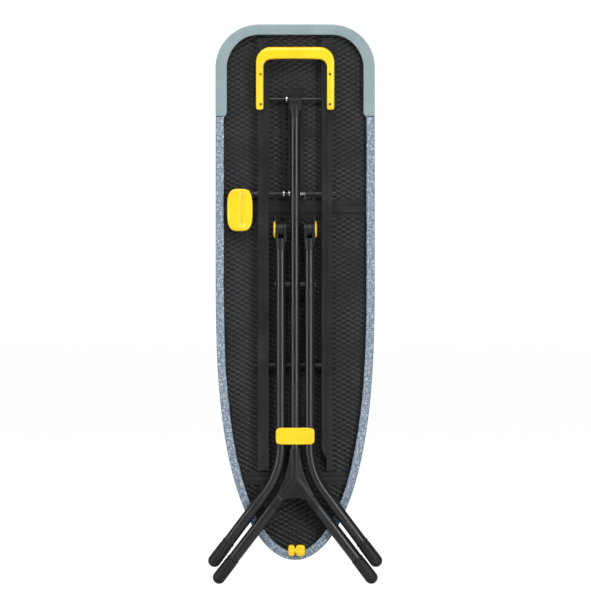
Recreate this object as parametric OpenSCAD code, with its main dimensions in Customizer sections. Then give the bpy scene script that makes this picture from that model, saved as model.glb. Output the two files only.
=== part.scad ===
// Folding ironing board, folded flat and standing nose down.
// +Z runs up the board to its square end, +Y is the side that is ironed on, and -Y is the underside.
// Heights are measured from the balls of the lower feet. Depths (w) run from the ironing face down to
// the legs, which is towards -Y. Everything that turns does so about an axis along X.

/* [Board] */
// Length of the board from nose to square end
board_length = 1220; // [1100:5:1350]
// Width of the board
board_width = 363; // [340:1:420]
// Length of the tapered stretch behind the nose
taper_length = 661; // [560:1:720]
// How square the taper is: 2 is an ellipse, more is blunter
taper_power = 2.75; // [2.3:0.05:3.2]
// Radius of the square end's corners
corner_radius = 99; // [70:1:120]
// Thickness of the cover's cloth
cloth = 1.2; // [0.8:0.1:2]
// Thickness of the felt pad
pad_thickness = 6.8; // [4:0.1:10]
// Thickness of the expanded metal top
mesh_thickness = 1.5; // [1:0.1:2.5]
// Width of the folded rim
rim_width = 14; // [10:0.5:16]
// Depth of the folded rim
rim_depth = 14; // [12:0.5:16]
// Width of the cover's hem on the underside
hem_width = 19; // [14:1:26]
// Width of the plastic trim down the sides of the square end
trim_width = 26; // [20:1:30]
// How far the plastic trim reaches down from the square end
trim_reach = 209; // [170:1:240]

/* [Rails and braces] */
// Distance from the middle to a rail's inner lip
rail_in = 60; // [56:1:66]
// Width of a rail's inner flange
rail_flange = 12; // [10:1:15]
// Width of a rail's raised hat
rail_hat = 13; // [11:1:17]
// Depth of a rail's hat below the mesh
rail_depth = 23.5; // [22:0.5:26]
// How much lower the inner flange lies than the hat
rail_step = 2; // [1:0.5:3]
// Thickness of pressed sheet
sheet = 1.5; // [1:0.1:2]
// Gap between a rail's top end and the square end
rail_top_gap = 33; // [25:1:50]
// Length of the rails
rail_length = 982; // [900:1:1010]
// Width of the middle brace
brace_width = 41; // [34:1:50]
// Width of the nose brace
nose_brace_width = 29; // [22:1:36]

/* [Legs] */
// Length of the centre leg from its head axle to its foot balls
leg_length = 1086.5; // [1020:0.5:1180]
// Diameter of the leg tubes
tube_d = 22; // [19:0.5:24]
// Wall of the leg tubes
tube_wall = 1.2; // [0.8:0.1:2]
// Distance from the middle to a twin tube
twin_x = 32.5; // [30:0.5:36]
// Diameter of the strut tubes
strut_d = 16; // [13:0.5:17]
// Distance from the head axle to the square end
head_inset = 170; // [150:1:200]
// Drop from the head axle to the knee hubs
hub_drop = 297; // [280:1:310]
// Drop from the head axle to the scissor pivot
pivot_drop = 422; // [400:1:440]
// Drop from the head axle to the strut axle
strut_drop = 606; // [570:1:650]
// Diameter of every axle and rod
axle_d = 8; // [7:0.5:9]
// Diameter of the knee hubs
hub_d = 39; // [36:1:39]
// Distance from the middle to a centre leg's foot ball
foot_x = 172.5; // [150:0.5:190]
// Distance from the middle to a twin leg's foot ball
twin_foot_x = 183; // [165:0.5:200]
// How much higher the twin leg's foot balls are
twin_foot_rise = 38; // [30:0.5:50]
// Bend angle of the twin tubes
splay = 37; // [30:0.5:42]
// Angle of the centre leg's two foot arms from its tube
centre_splay = 37.55; // [34:0.05:40]
// Bend radius of the twin tubes
bend_r = 180; // [120:5:220]
// Radius of the curve that the centre leg's fork follows
fork_r = 205; // [150:5:230]
// Diameter of the foot caps
foot_d = 29; // [26:0.5:32]
// Length of the foot caps behind the ball
foot_cap_l = 55; // [40:0.5:60]
// Wall of the foot caps, which fit tightly on the splayed arms and so set how thick those are
cap_wall = 1.5; // [1.2:0.1:2.5]

/* [Handle, lever and clip] */
// Width over the carrying handle
handle_width = 178; // [174:1:190]
// Height of the carrying handle
handle_height = 143; // [130:1:160]
// Thickness of the handle's grip bar
grip = 29; // [24:1:34]
// Width of the handle's arms
handle_arm = 17; // [15:1:20]
// Outer corner radius of the handle
handle_r = 34; // [25:1:40]
// Width of the lever's paddle
paddle_w = 57.5; // [50:0.5:60]
// Length of the lever's paddle
paddle_l = 96.5; // [80:0.5:110]
// Height of the leg clip
clip_h = 38; // [30:1:50]
// Width of the cord toggle
toggle_w = 39; // [34:1:44]

/* [Height rack] */
// Width of the rack strip
rack_w = 51; // [46:1:54]
// Pitch of the rack's notches
notch_pitch = 11.4; // [10:0.1:13]
// How many notches the rack has
notches = 18; // [12:1:19]

/* [Fits] */
// Radial clearance of a running fit
run = 0.06; // [0.03:0.01:0.1]
// Gap between pieces that pass one another
gap = 0.3; // [0.3:0.1:0.5]
// Gap between pieces that are fastened side by side
seat = 0.1; // [0.05:0.05:0.2]

/* [Hidden] */
$fn = 48;

tube_r = tube_d / 2;
foot_r = foot_d / 2;
arm_r = foot_r - cap_wall;
axle_r = axle_d / 2;
hub_r = hub_d / 2;
strut_r = strut_d / 2;
half_w = board_width / 2;

// Depths below the ironing face
pad_w = cloth;
mesh_w = pad_w + pad_thickness;
frame_w = mesh_w + mesh_thickness;
rim_end_w = mesh_w + rim_depth;
rail_end_w = frame_w + rail_depth;
flange_w = rail_end_w - rail_step;
rack_floor_w = frame_w + sheet + seat;
rack_end_w = rack_floor_w + sheet;
head_r = 8;
head_over_rack = 0.7;
head_w = rack_end_w + head_over_rack + head_r;
lever_below_head = 1.5;
lever_w = head_w + lever_below_head;
strut_below_head = 3;
strut_w = head_w + strut_below_head;
leg_over_rail = 2.5;
leg_w = rail_end_w + leg_over_rail + tube_r;
hub_w = (strut_w + leg_w) / 2;
face_y = (leg_w + foot_r) / 2;

// Heights above the lower feet
foot_z = foot_r;
head_z = foot_z + leg_length;
top_z = head_z + head_inset;
nose_z = top_z - board_length;
hub_z = head_z - hub_drop;
pivot_z = head_z - pivot_drop;
strut_z = head_z - strut_drop;
lever_drop = 215.5;
lever_z = head_z - lever_drop;
trim_z = top_z - trim_reach;
rail_top_z = top_z - rail_top_gap;
rail_low_z = rail_top_z - rail_length;
mid_brace_drop = 250.5;
mid_brace_z = head_z - mid_brace_drop;
nose_brace_rise = 185;
nose_brace_z = nose_z + nose_brace_rise;
rail_out = rail_in + rail_flange + rail_hat;
twin_foot_z = foot_z + twin_foot_rise;
bend_vertex_z = twin_foot_z + (twin_foot_x - twin_x) / tan(splay);
bend_z = bend_vertex_z + bend_r * tan(splay / 2);
y_vertex_z = foot_z + foot_x / tan(centre_splay);
y_collar = 84;
handle_rise = 117;
handle_top_z = head_z + handle_rise;
handle_low_z = handle_top_z - handle_height;
handle_w0 = rail_end_w + seat;
handle_t = 14;
handle_w1 = handle_w0 + handle_t;
screw_inset = [12.4, 80.6];
screw_z = [handle_low_z + screw_inset[0], handle_low_z + screw_inset[1]];
clip_over_bend = 4;
clip_z = bend_z + clip_over_bend;
paddle_clear = 12;
paddle_x = -(rail_out + paddle_clear);
// Amount by which a cutter overshoots what it cuts
over = 1;
steel = [0.13, 0.13, 0.14];
yellow = [0.97, 0.86, 0.15];
silver = [0.72, 0.73, 0.75];
black = [0.07, 0.07, 0.08];

// Half the board's width at a distance from the nose: a blunt superellipse, then straight.
function taper(t) = half_w * sqrt(1 - pow(max(0, 1 - t / taper_length), taper_power));

// The board's outline on its +X side, from the nose up to the middle of the square end.
nose_steps = 26;
corner_steps = 12;
side_points = concat(
  [for (i = [0:nose_steps]) let (t = taper_length * pow(i / nose_steps, 2)) [taper(t), nose_z + t]],
  [for (i = [0:corner_steps]) let (a = 90 * i / corner_steps)
    [half_w - corner_radius + corner_radius * cos(a), top_z - corner_radius + corner_radius * sin(a)]]);
function mirrored(p) = concat(p, [for (i = [len(p) - 1:-1:1]) [-p[i][0], p[i][1]]]);
outline = mirrored(side_points);

// The outline moved inwards by d along its own normals.
function inset(p, d) = [for (i = [0:len(p) - 1])
  let (n = len(p), a = p[(i + n - 1) % n], b = p[(i + 1) % n], v = (b - a) / norm(b - a))
    p[i] + d * [-v[1], v[0]]];

// Extrudes an (X, Z) drawing from depth w0 to depth w1.
module slab(w0, w1) {
  translate([0, face_y - w0, 0]) rotate([90, 0, 0]) linear_extrude(w1 - w0) children();
}
// Extrudes a (depth, Z) drawing from x0 to x1.
module side_plate(x0, x1) {
  translate([x1, face_y, 0]) rotate([90, 0, -90]) linear_extrude(x1 - x0) children();
}
module board_shape(d) {
  polygon(inset(outline, d));
}
module ring(d0, d1) {
  difference() {
    board_shape(d0);
    board_shape(d1);
  }
}
module rect(x0, x1, z0, z1) {
  translate([x0, z0]) square([x1 - x0, z1 - z0]);
}
module round_rect(x0, x1, z0, z1, r) {
  rect(x0 + r, x1 - r, z0, z1);
  rect(x0, x1, z0 + r, z1 - r);
  for (x = [x0 + r, x1 - r], z = [z0 + r, z1 - r]) translate([x, z]) circle(r);
}
// A rod along X.
module rod(x0, x1, r, w, z) {
  translate([x0, face_y - w, z]) rotate([0, 90, 0]) cylinder(r = r, h = x1 - x0);
}
// A screw or rivet along the depth.
module stud(x, z, r, w0, w1) {
  translate([x, face_y - w0, z]) rotate([90, 0, 0]) cylinder(r = r, h = w1 - w0);
}
module post(x, w, z0, z1, r) {
  translate([x, face_y - w, z0]) cylinder(r = r, h = z1 - z0);
}
module left() {
  mirror([1, 0, 0]) children();
}
module both() {
  children();
  left() children();
}

// ---- Board ----
module mesh_panel() {
  color(steel) slab(mesh_w, frame_w) board_shape(cloth + rim_width + seat);
}
module rim_frame() {
  color(steel) slab(mesh_w, rim_end_w) ring(cloth + seat, cloth + rim_width);
}
module felt_pad() {
  color("white") slab(pad_w, mesh_w) board_shape(cloth + seat);
}
module cover_cloth() {
  color([0.53, 0.59, 0.67]) {
    slab(0, pad_w) board_shape(0);
    slab(pad_w, rim_end_w) ring(0, cloth);
  }
}
module cover_hem() {
  color([0.53, 0.59, 0.67]) slab(rim_end_w, rim_end_w + cloth) intersection() {
    ring(0, hem_width);
    rect(-half_w, half_w, nose_z - 1, trim_z);
  }
}
trim_t = 3;
trim_end_slimmer = 2;
module end_trim() {
  inner = half_w - trim_width;
  inner_top = top_z - trim_width + trim_end_slimmer;
  color([0.57, 0.64, 0.66]) slab(rim_end_w, rim_end_w + trim_t) difference() {
    intersection() {
      board_shape(0);
      rect(-half_w, half_w, trim_z, top_z + 1);
    }
    round_rect(-inner, inner, trim_z - corner_radius, inner_top, corner_radius - trim_width);
  }
}
// A rail's cross-section: a raised hat outside and a lower flange with a lip inside.
module rail_section() {
  hat = rail_in + rail_flange;
  rect(rail_in, rail_in + sheet, frame_w, flange_w);
  rect(rail_in, hat + sheet, flange_w - sheet, flange_w);
  rect(hat, hat + sheet, frame_w, rail_end_w);
  rect(hat, rail_out, rail_end_w - sheet, rail_end_w);
  rect(rail_out - sheet, rail_out, frame_w, rail_end_w);
}
module rail() {
  slot_r = axle_r + gap;
  difference() {
    translate([0, face_y, rail_low_z]) mirror([0, 1, 0]) linear_extrude(rail_length) rail_section();
    rod(rail_in - 1, rail_out + 1, axle_r + seat, strut_w, strut_z);
    rod(rail_in - 1, rail_out + 1, axle_r + run, lever_w, lever_z);
    for (z = [head_z, head_z - head_travel]) rod(rail_in - 1, rail_in + 3, slot_r, head_w, z);
    translate([rail_in - 1, face_y - head_w - slot_r, head_z - head_travel])
      cube([4, 2 * slot_r, head_travel]);
    translate([rail_in - 1, face_y - frame_w - brace_rib - seat, mid_brace_z - brace_width / 2 - seat])
      cube([rail_out - rail_in + 2, brace_rib + 1, brace_width + 2 * seat]);
    for (z = screw_z) stud(screw_x, z, screw_r + seat, rail_end_w - 3, rail_end_w + 1);
    stud(rivet_x, mid_brace_z, rivet_r + seat, frame_w, flange_w + 1);
  }
}
head_travel = 125;
brace_rib = 8.5;
screw_x = rail_out - rail_hat / 2;
screw_r = 2.5;
screw_head_h = 2.5;
well = 3;
rivet_x = rail_in + rail_flange / 2;
rivet_r = 2.5;
rivet_head_r = 4.5;
rivet_head_h = 1.5;
module rail_left() {
  color(steel) left() rail();
}
module rail_right() {
  cut = 51;
  color(steel) difference() {
    rail();
    slab(frame_w - 1, rail_end_w + 1)
      polygon([[rail_in - 1, rail_low_z - 1], [rail_in + rail_flange - 1, rail_low_z - 1],
        [rail_in + rail_flange - 1, rail_low_z + cut / 2], [rail_in - 1, rail_low_z + cut]]);
  }
}
module mid_brace() {
  reach = half_w - cloth - rim_width - seat;
  rib = 7;
  color(steel) difference() {
    union() {
      slab(frame_w, frame_w + sheet)
        rect(-reach, reach, mid_brace_z - brace_width / 2, mid_brace_z + brace_width / 2);
      slab(frame_w, frame_w + brace_rib) rect(-reach, reach, mid_brace_z - rib, mid_brace_z + rib);
    }
    both() stud(rivet_x, mid_brace_z, rivet_r + seat, frame_w - over, frame_w + brace_rib + over);
  }
}
module nose_brace() {
  slack = 4;
  rib = [-3, 5];
  reach = taper(nose_brace_rise - nose_brace_width / 2) - cloth - rim_width - slack;
  color(steel) {
    slab(frame_w, frame_w + sheet) rect(-reach, reach, nose_brace_z - nose_brace_width / 2,
      nose_brace_z + nose_brace_width / 2);
    slab(frame_w, frame_w + brace_rib) rect(-reach, reach, nose_brace_z + rib[0], nose_brace_z + rib[1]);
  }
}
strap_drop = 76;
strap_z = head_z - strap_drop;
strap_h = 14;
strap_reach = rail_in - strap_h * 3 / 7;
rack_share_left = 0.6;
rack_x0 = -rack_w * rack_share_left;
rack_over_head = 24;
rack_top_z = head_z + rack_over_head;
rack_over_lever = 9;
rack_low_z = lever_z + rack_over_lever;
notch_in = 9;
notch_w = 4.5;
notch_h = 6;
module cross_strap() {
  straight = strap_reach - strap_h / 2;
  color(steel) slab(frame_w, frame_w + sheet) {
    rect(-straight, straight, strap_z - strap_h / 2, strap_z + strap_h / 2);
    for (x = [-straight, straight]) translate([x, strap_z]) circle(strap_h / 2);
  }
}
module height_rack() {
  notch_x = rack_x0 + notch_in;
  color(silver) difference() {
    union() {
      slab(rack_floor_w, rack_end_w) rect(rack_x0, rack_x0 + rack_w, rack_low_z, rack_top_z);
      for (x = [rack_x0, rack_x0 + rack_w - sheet])
        slab(frame_w, rack_floor_w + seat) rect(x, x + sheet, rack_low_z, rack_top_z);
    }
    for (i = [0:notches - 1])
      slab(rack_floor_w - over, rack_end_w + over)
        rect(notch_x, notch_x + notch_w, head_z - i * notch_pitch - notch_h / 2,
          head_z - i * notch_pitch + notch_h / 2);
    slab(frame_w - 1, rack_floor_w - seat / 2) rect(rack_x0 - 1, rack_x0 + rack_w + 1,
      strap_z - strap_h / 2 - seat, strap_z + strap_h / 2 + seat);
  }
}
nut_h = 5;
nut_r = 7.5;
module strut_axle() {
  color(silver) rod(-rail_out - nut_h - 1, rail_out + nut_h + 1, axle_r, strut_w, strut_z);
}
module axle_nuts() {
  color(silver) both() difference() {
    translate([rail_out, face_y - strut_w, strut_z]) rotate([0, 90, 0])
      cylinder(r = nut_r, h = nut_h, $fn = 6);
    rod(rail_out - 1, rail_out + nut_h + 1, axle_r, strut_w, strut_z);
  }
}
module rail_rivets() {
  color(silver) both() {
    stud(rivet_x, mid_brace_z, rivet_r, frame_w, flange_w);
    stud(rivet_x, mid_brace_z, rivet_head_r, flange_w, flange_w + rivet_head_h);
  }
}
handle_inner_r = 12;
module carry_handle() {
  half = handle_width / 2;
  inner = half - handle_arm;
  difference() {
    color(yellow) slab(handle_w0, handle_w1) difference() {
      union() {
        round_rect(-half, half, handle_low_z, handle_top_z, handle_r);
        rect(-half, half, handle_low_z, handle_top_z - handle_r);
      }
      union() {
        rect(-inner, inner, handle_low_z - over, handle_top_z - grip - handle_inner_r);
        round_rect(-inner, inner, handle_low_z + handle_inner_r, handle_top_z - grip, handle_inner_r);
      }
    }
    both() for (z = screw_z) {
      stud(screw_x, z, screw_r + seat, handle_w0 - over, handle_w1 + over);
      stud(screw_x, z, screw_r * 2 + seat, handle_w1 - well, handle_w1 + over);
    }
  }
}
module handle_screws() {
  color(silver) both() for (z = screw_z) {
    stud(screw_x, z, screw_r, rail_end_w - sheet - over, handle_w1 - well);
    stud(screw_x, z, screw_r * 2, handle_w1 - well, handle_w1 - well + screw_head_h);
  }
}
bearing_t = 6;
bearing_wall = 4;
module lever_bearings() {
  color(steel) both() difference() {
    union() {
      rod(rail_out + seat, rail_out + bearing_t, axle_r + bearing_wall, lever_w, lever_z);
      slab(frame_w, lever_w) rect(rail_out + seat, rail_out + bearing_t, lever_z - bearing_t,
        lever_z + bearing_t);
    }
    rod(rail_out - over, rail_out + bearing_t + over, axle_r + run, lever_w, lever_z);
  }
}
toggle_rise = 23;
toggle_z = nose_z + toggle_rise;
toggle_h = 26;
toggle_corner = 6;
neck_l = 10;
cord_hole = 3;
cord_in = 7;
toggle_w0 = rim_end_w + cloth + seat;
toggle_depth = 15;
toggle_x0 = -16;
shoulder_x = 1;
neck_r = 5.5;
button_travel = 1.5;
// One lobe of the toggle, with big corners on its outer side.
module toggle_lobe(x0, x1) {
  slab(toggle_w0, toggle_w0 + toggle_depth)
    round_rect(x0, x1, toggle_z - toggle_h / 2, toggle_z + toggle_h / 2, toggle_corner);
}
module toggle_axis(x0, x1, r) {
  rod(x0, x1, r, toggle_w0 + toggle_depth / 2, toggle_z);
}
module cord_toggle() {
  color(yellow) difference() {
    union() {
      toggle_lobe(shoulder_x, toggle_x0 + toggle_w);
      toggle_axis(shoulder_x - neck_l, shoulder_x + 2 * over, neck_r);
    }
    slab(toggle_w0 + (toggle_depth - cord_hole) / 2, toggle_w0 + (toggle_depth + cord_hole) / 2)
      rect(shoulder_x + cord_in, shoulder_x + cord_in + cord_hole, toggle_z - toggle_h,
        toggle_z + toggle_h);
  }
}
module toggle_button() {
  rim_x = shoulder_x - gap - button_travel;
  color(yellow) difference() {
    toggle_lobe(toggle_x0, rim_x);
    toggle_axis(shoulder_x - neck_l - gap - button_travel, rim_x + over, neck_r + gap);
  }
}

// ---- Release lever ----
module lever_rod() {
  color(silver) rod(paddle_x - rod_in_paddle, rail_out + rod_end, axle_r, lever_w, lever_z);
}
rod_in_paddle = 18;
rod_end = 8;
paddle_over_rail = 3;
paddle_w0 = rail_end_w - paddle_over_rail;
paddle_t = 11;
paddle_corner = 22;
boss_l = 24;
boss_r = 9;
module lever_paddle() {
  z1 = lever_z + paddle_t;
  color(yellow) difference() {
    union() {
      slab(paddle_w0, paddle_w0 + paddle_t)
        round_rect(paddle_x - paddle_w, paddle_x, z1 - paddle_l, z1, paddle_corner);
      rod(paddle_x - boss_l, paddle_x, boss_r, lever_w, lever_z);
    }
    rod(paddle_x - rod_in_paddle - seat, paddle_x + over, axle_r + seat / 2, lever_w, lever_z);
  }
}
latch_x = [-26, -14];
latch_t = 2.4;
latch_r = 7.5;
module latch_pawl() {
  color(silver) for (x = latch_x) difference() {
    side_plate(x - latch_t / 2, x + latch_t / 2) {
      translate([lever_w, lever_z]) circle(latch_r);
      rect(rack_end_w + over, lever_w, lever_z - 1, lever_z + latch_r - 0.5);
    }
    rod(x - latch_t, x + latch_t, axle_r + seat / 2, lever_w, lever_z);
  }
}
spring_x = [7, 22];
spring_wall = 2.4;
module lever_spring() {
  color(silver) difference() {
    rod(spring_x[0], spring_x[1], axle_r + spring_wall, lever_w, lever_z);
    rod(spring_x[0] - over, spring_x[1] + over, axle_r + seat, lever_w, lever_z);
  }
}

// ---- Sliding head ----
glide_in = rail_in + sheet + gap;
glide_out = rail_in + rail_flange - gap;
glide_w = [-7, 6];
glide_h = 24;
glide_corner = 4;
head_pawl_in = 11.2;
head_pawl_t = 3.2;
module head_axle() {
  color(silver) rod(-glide_out, glide_out, axle_r, head_w, head_z);
}
module head_glides() {
  color(black) both() difference() {
    side_plate(glide_in, glide_out)
      round_rect(head_w + glide_w[0], head_w + glide_w[1], head_z - glide_h / 2,
        head_z + glide_h / 2, glide_corner);
    rod(glide_in - over, glide_out + over, axle_r, head_w, head_z);
  }
}
module head_pawl() {
  x = rack_x0 + head_pawl_in;
  color(silver) difference() {
    side_plate(x - head_pawl_t / 2, x + head_pawl_t / 2) {
      translate([head_w, head_z]) circle(head_r - head_over_rack);
      rect(rack_end_w + gap, head_w, head_z - notch_h / 3, head_z + notch_h / 3);
    }
    rod(x - head_pawl_t, x + head_pawl_t, axle_r, head_w, head_z);
  }
}

// ---- Centre leg ----
bracket_half = 14;
bracket_skirt = 24;
bracket_wall = 2;
socket_drop = 18;
socket_end = 4;
module head_bracket() {
  socket_z1 = head_z - socket_drop;
  color(black) difference() {
    union() {
      side_plate(-bracket_half, bracket_half) {
        translate([head_w, head_z]) circle(head_r);
        polygon([[head_w, head_z + head_r], [leg_w + 4, head_z + 4], [leg_w + 9, head_z - 4],
          [leg_w + 9, socket_z1 - 10], [leg_w - 12, socket_z1 - 10],
          [head_w + 2, head_z - head_r]]);
      }
      post(0, leg_w, socket_z1 - bracket_skirt, socket_z1, tube_r + bracket_wall);
    }
    rod(-bracket_half - 1, bracket_half + 1, axle_r + run, head_w, head_z);
    post(0, leg_w, socket_z1 - bracket_skirt - over, socket_z1 - socket_end, tube_r);
  }
}
// A tube down X = x that ends on the leg's plane, with its bore.
module hollow_post(x, w, z0, z1, r) {
  difference() {
    post(x, w, z0, z1, r);
    post(x, w, z0 - 1, z1 + 1, r - tube_wall);
  }
}
fork_to_tube = 23;
centre_low_z = y_vertex_z + fork_to_tube;
module centre_tube() {
  color(steel) difference() {
    hollow_post(0, leg_w, centre_low_z, head_z - socket_drop - socket_end, tube_r);
    rod(-tube_r - 1, tube_r + 1, bush_r, leg_w, pivot_z);
  }
}
bush_r = 6;
module pivot_bush() {
  color(silver) intersection() {
    difference() {
      rod(-tube_r, tube_r, bush_r, leg_w, pivot_z);
      rod(-tube_r - 1, tube_r + 1, axle_r + seat, leg_w, pivot_z);
    }
    post(0, leg_w, pivot_z - 2 * bush_r, pivot_z + 2 * bush_r, tube_r - seat / 2);
  }
}
// Places a piece along the centre leg's +X arm, with +Z running down to the foot.
module along_centre_arm(s) {
  translate([0, face_y - leg_w, y_vertex_z]) rotate([0, 180 - centre_splay, 0])
    translate([0, 0, s]) children();
}
centre_arm_l = foot_x / sin(centre_splay);
arm_start = 60;
collar_wall = 2;
collar_l = 46;
arm_wall = 1.2;
arm_collar_in = 4;
fork_wall = 1.5;
fork_edge = 1;
web_half = 9;
web_steps = 10;
arch_r = 60;
arch_drop = 45;
// How far the leg tubes stop short of a foot cap's ball
cap_floor = 8;
// The height where the fork's curve begins, and a point on its outer side at an angle along it.
fork_z = y_vertex_z + fork_r * tan(centre_splay / 2);
function fork_side(a) = let (r = fork_r - tube_r - fork_edge) [fork_r - r * cos(a), fork_z - r * sin(a)];
module y_junction() {
  collar_z = centre_low_z + collar_l;
  side = [for (i = [0:web_steps]) fork_side(i * centre_splay / web_steps)];
  foot = [arm_start * sin(centre_splay), y_vertex_z - arm_start * cos(centre_splay)];
  color(black) difference() {
    union() {
      post(0, leg_w, y_vertex_z, collar_z, tube_r + collar_wall);
      both() along_centre_arm(0) cylinder(r = tube_r + fork_wall, h = arm_start + over);
      both() along_centre_arm(arm_start - arm_collar_in)
        cylinder(r = arm_r + arm_wall, h = y_collar - arm_start + arm_collar_in);
      slab(leg_w - web_half, leg_w + web_half) difference() {
        polygon(concat(side, [foot], [[-foot[0], foot[1]]],
          [for (i = [web_steps:-1:0]) [-side[i][0], side[i][1]]]));
        translate([0, y_vertex_z - arch_drop - arch_r]) circle(arch_r);
      }
    }
    post(0, leg_w, centre_low_z, collar_z + over, tube_r);
    both() along_centre_arm(arm_start) cylinder(r = arm_r, h = y_collar);
  }
}
module centre_arm() {
  color(steel) along_centre_arm(arm_start) difference() {
    cylinder(r = arm_r, h = centre_arm_l - arm_start - cap_floor);
    translate([0, 0, -over]) cylinder(r = arm_r - tube_wall, h = centre_arm_l);
  }
}
module centre_arm_left() {
  left() centre_arm();
}
module centre_arm_right() {
  centre_arm();
}
// A rubber cap with a ball end at the origin and its mouth towards -Z, pushed onto an arm.
module foot_cap() {
  color(black) difference() {
    union() {
      sphere(r = foot_r);
      translate([0, 0, -foot_cap_l]) cylinder(r = foot_r, h = foot_cap_l);
    }
    translate([0, 0, -foot_cap_l - over]) cylinder(r = arm_r, h = foot_cap_l - cap_floor + over);
  }
}
module centre_foot_left() {
  left() along_centre_arm(centre_arm_l) foot_cap();
}
module centre_foot_right() {
  along_centre_arm(centre_arm_l) foot_cap();
}

// ---- Strut ----
tongue_half = 5.7;
sleeve_r = 7;
strut_tail = 12;
plug_gap = 3;
plug_l = 25;
plug_play = 0.02;
module strut_tube() {
  color(steel) difference() {
    post(twin_x, strut_w, strut_z - strut_tail, hub_z - hub_r - plug_gap, strut_r);
    post(twin_x, strut_w, strut_z - strut_tail - over, hub_z - hub_r, strut_r - tube_wall);
    rod(twin_x - strut_r - 1, twin_x + strut_r + 1, sleeve_r, strut_w, strut_z);
  }
}
module strut_tube_left() {
  left() strut_tube();
}
module strut_tube_right() {
  strut_tube();
}
module strut_tongue() {
  plug_z = hub_z - hub_r - plug_gap;
  color(black) difference() {
    union() {
      side_plate(twin_x - tongue_half, twin_x + tongue_half) {
        translate([hub_w, hub_z]) circle(hub_r - 0.5);
        rect(strut_w - strut_r + 1, strut_w + strut_r - 1, plug_z, hub_z);
      }
      post(twin_x, strut_w, plug_z - plug_l, plug_z + 2, strut_r - tube_wall - plug_play);
    }
    rod(twin_x - 10, twin_x + 10, axle_r + run, hub_w, hub_z);
  }
}
module strut_tongue_left() {
  left() strut_tongue();
}
module strut_tongue_right() {
  strut_tongue();
}
module strut_sleeve() {
  reach = rail_in - sheet;
  color(black) difference() {
    rod(-reach, reach, sleeve_r - seat / 2, strut_w, strut_z);
    rod(-reach - 1, reach + 1, axle_r + run, strut_w, strut_z);
  }
}

// ---- Twin leg ----
socket_gap = 1;
cheek = 6.5;
cheek_half = 12.5;
knuckle_skirt = 26;
pivot_head_h = 2.5;
pivot_head_gap = 0.5;
spacer_r = 7;
finger_inset = 3;
finger_gap = [1.2, 0.9];
finger_in = 4;
arm_l = (twin_foot_x - twin_x) / sin(splay) - bend_r * tan(splay / 2);
// The step by which an arm's bore is slimmer than the bend's, and how far an arm starts inside the
// bend, so that the two lengths meet on a face that is cut cleanly at any splay.
bend_step = 0.2;
bend_lap = 0.5;
// A solid run of the twin tube's path: straight and bent at radius r, then splayed at radius r_arm.
module tube_run(r, r_arm, z1, arm_end) {
  post(twin_x, leg_w, bend_z, z1, r);
  translate([twin_x + bend_r, face_y - leg_w, bend_z]) rotate([90, 0, 0]) rotate([0, 0, 180])
    rotate_extrude(angle = splay, $fn = 96) translate([bend_r, 0]) circle(r);
  at_twin_arm(-bend_lap) cylinder(r = r_arm, h = arm_end + bend_lap);
}
// Places a piece along the twin leg's +X arm, with +Z running down to the foot.
module at_twin_arm(s) {
  translate([twin_x + bend_r * (1 - cos(splay)), face_y - leg_w, bend_z - bend_r * sin(splay)])
    rotate([0, 180 - splay, 0]) translate([0, 0, s]) children();
}
module twin_tube() {
  color(steel) difference() {
    union() tube_run(tube_r, arm_r, hub_z - hub_r - socket_gap - over, arm_l - cap_floor);
    union() tube_run(tube_r - tube_wall, tube_r - tube_wall - bend_step, hub_z, arm_l);
    rod(twin_x - tube_r - over, twin_x + tube_r + over, axle_r + seat / 2, leg_w, pivot_z);
    stud(twin_x, clip_z + clip_h / 2, screw_r + seat, leg_w, leg_w + tube_r + over);
  }
}
module twin_tube_left() {
  left() twin_tube();
}
module twin_tube_right() {
  twin_tube();
}
module knuckle() {
  socket_z1 = hub_z - hub_r - socket_gap;
  color(black) difference() {
    union() {
      for (x = [twin_x - cheek_half, twin_x + cheek_half - cheek]) side_plate(x, x + cheek) {
        translate([hub_w, hub_z]) circle(hub_r);
        rect(leg_w - tube_r - 1.5, hub_w + hub_r, socket_z1 - 10, hub_z);
      }
      post(twin_x, leg_w, socket_z1 - knuckle_skirt, socket_z1, tube_r + collar_wall);
    }
    post(twin_x, leg_w, socket_z1 - knuckle_skirt - over, socket_z1 - over, tube_r);
    rod(twin_x - 20, twin_x + 20, axle_r + seat / 2, hub_w, hub_z);
  }
}
module knuckle_left() {
  left() knuckle();
}
module knuckle_right() {
  knuckle();
}
disc_t = 4.5;
module hub_discs() {
  x = twin_x + cheek_half;
  color(yellow) both() rod(x, x + disc_t, hub_r, hub_w, hub_z);
}
module hub_pins() {
  color(silver) both() rod(twin_x - cheek_half, twin_x + cheek_half, axle_r, hub_w, hub_z);
}
stub_in = tube_r + gap;
module pivot_bolts() {
  color(silver) both() {
    rod(stub_in, twin_x + tube_r + pivot_head_gap, axle_r, leg_w, pivot_z);
    rod(twin_x + tube_r + pivot_head_gap, twin_x + tube_r + pivot_head_gap + pivot_head_h, axle_r + pivot_head_h,
      leg_w, pivot_z);
  }
}
module pivot_spacers() {
  color(black) both() difference() {
    rod(stub_in, twin_x - tube_r - seat, spacer_r, leg_w, pivot_z);
    rod(stub_in - 1, twin_x, axle_r + seat / 2, leg_w, pivot_z);
  }
}
clip_t = 3;
clip_corner = 9;
clip_screw_start = 3;
clip_screw_head = 0.3;
module leg_clip() {
  half = twin_x + tube_r;
  w0 = leg_w + tube_r + seat;
  color(yellow) difference() {
    union() {
      slab(w0, w0 + clip_t) round_rect(-half, half, clip_z, clip_z + clip_h, clip_corner);
      both() slab(leg_w - finger_in, w0 + over) rect(tube_r + finger_gap[0],
        twin_x - tube_r - finger_gap[1], clip_z + finger_inset, clip_z + clip_h - finger_inset);
    }
    both() stud(twin_x, clip_z + clip_h / 2, screw_r + seat, w0 - 1, w0 + clip_t + 1);
  }
}
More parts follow.
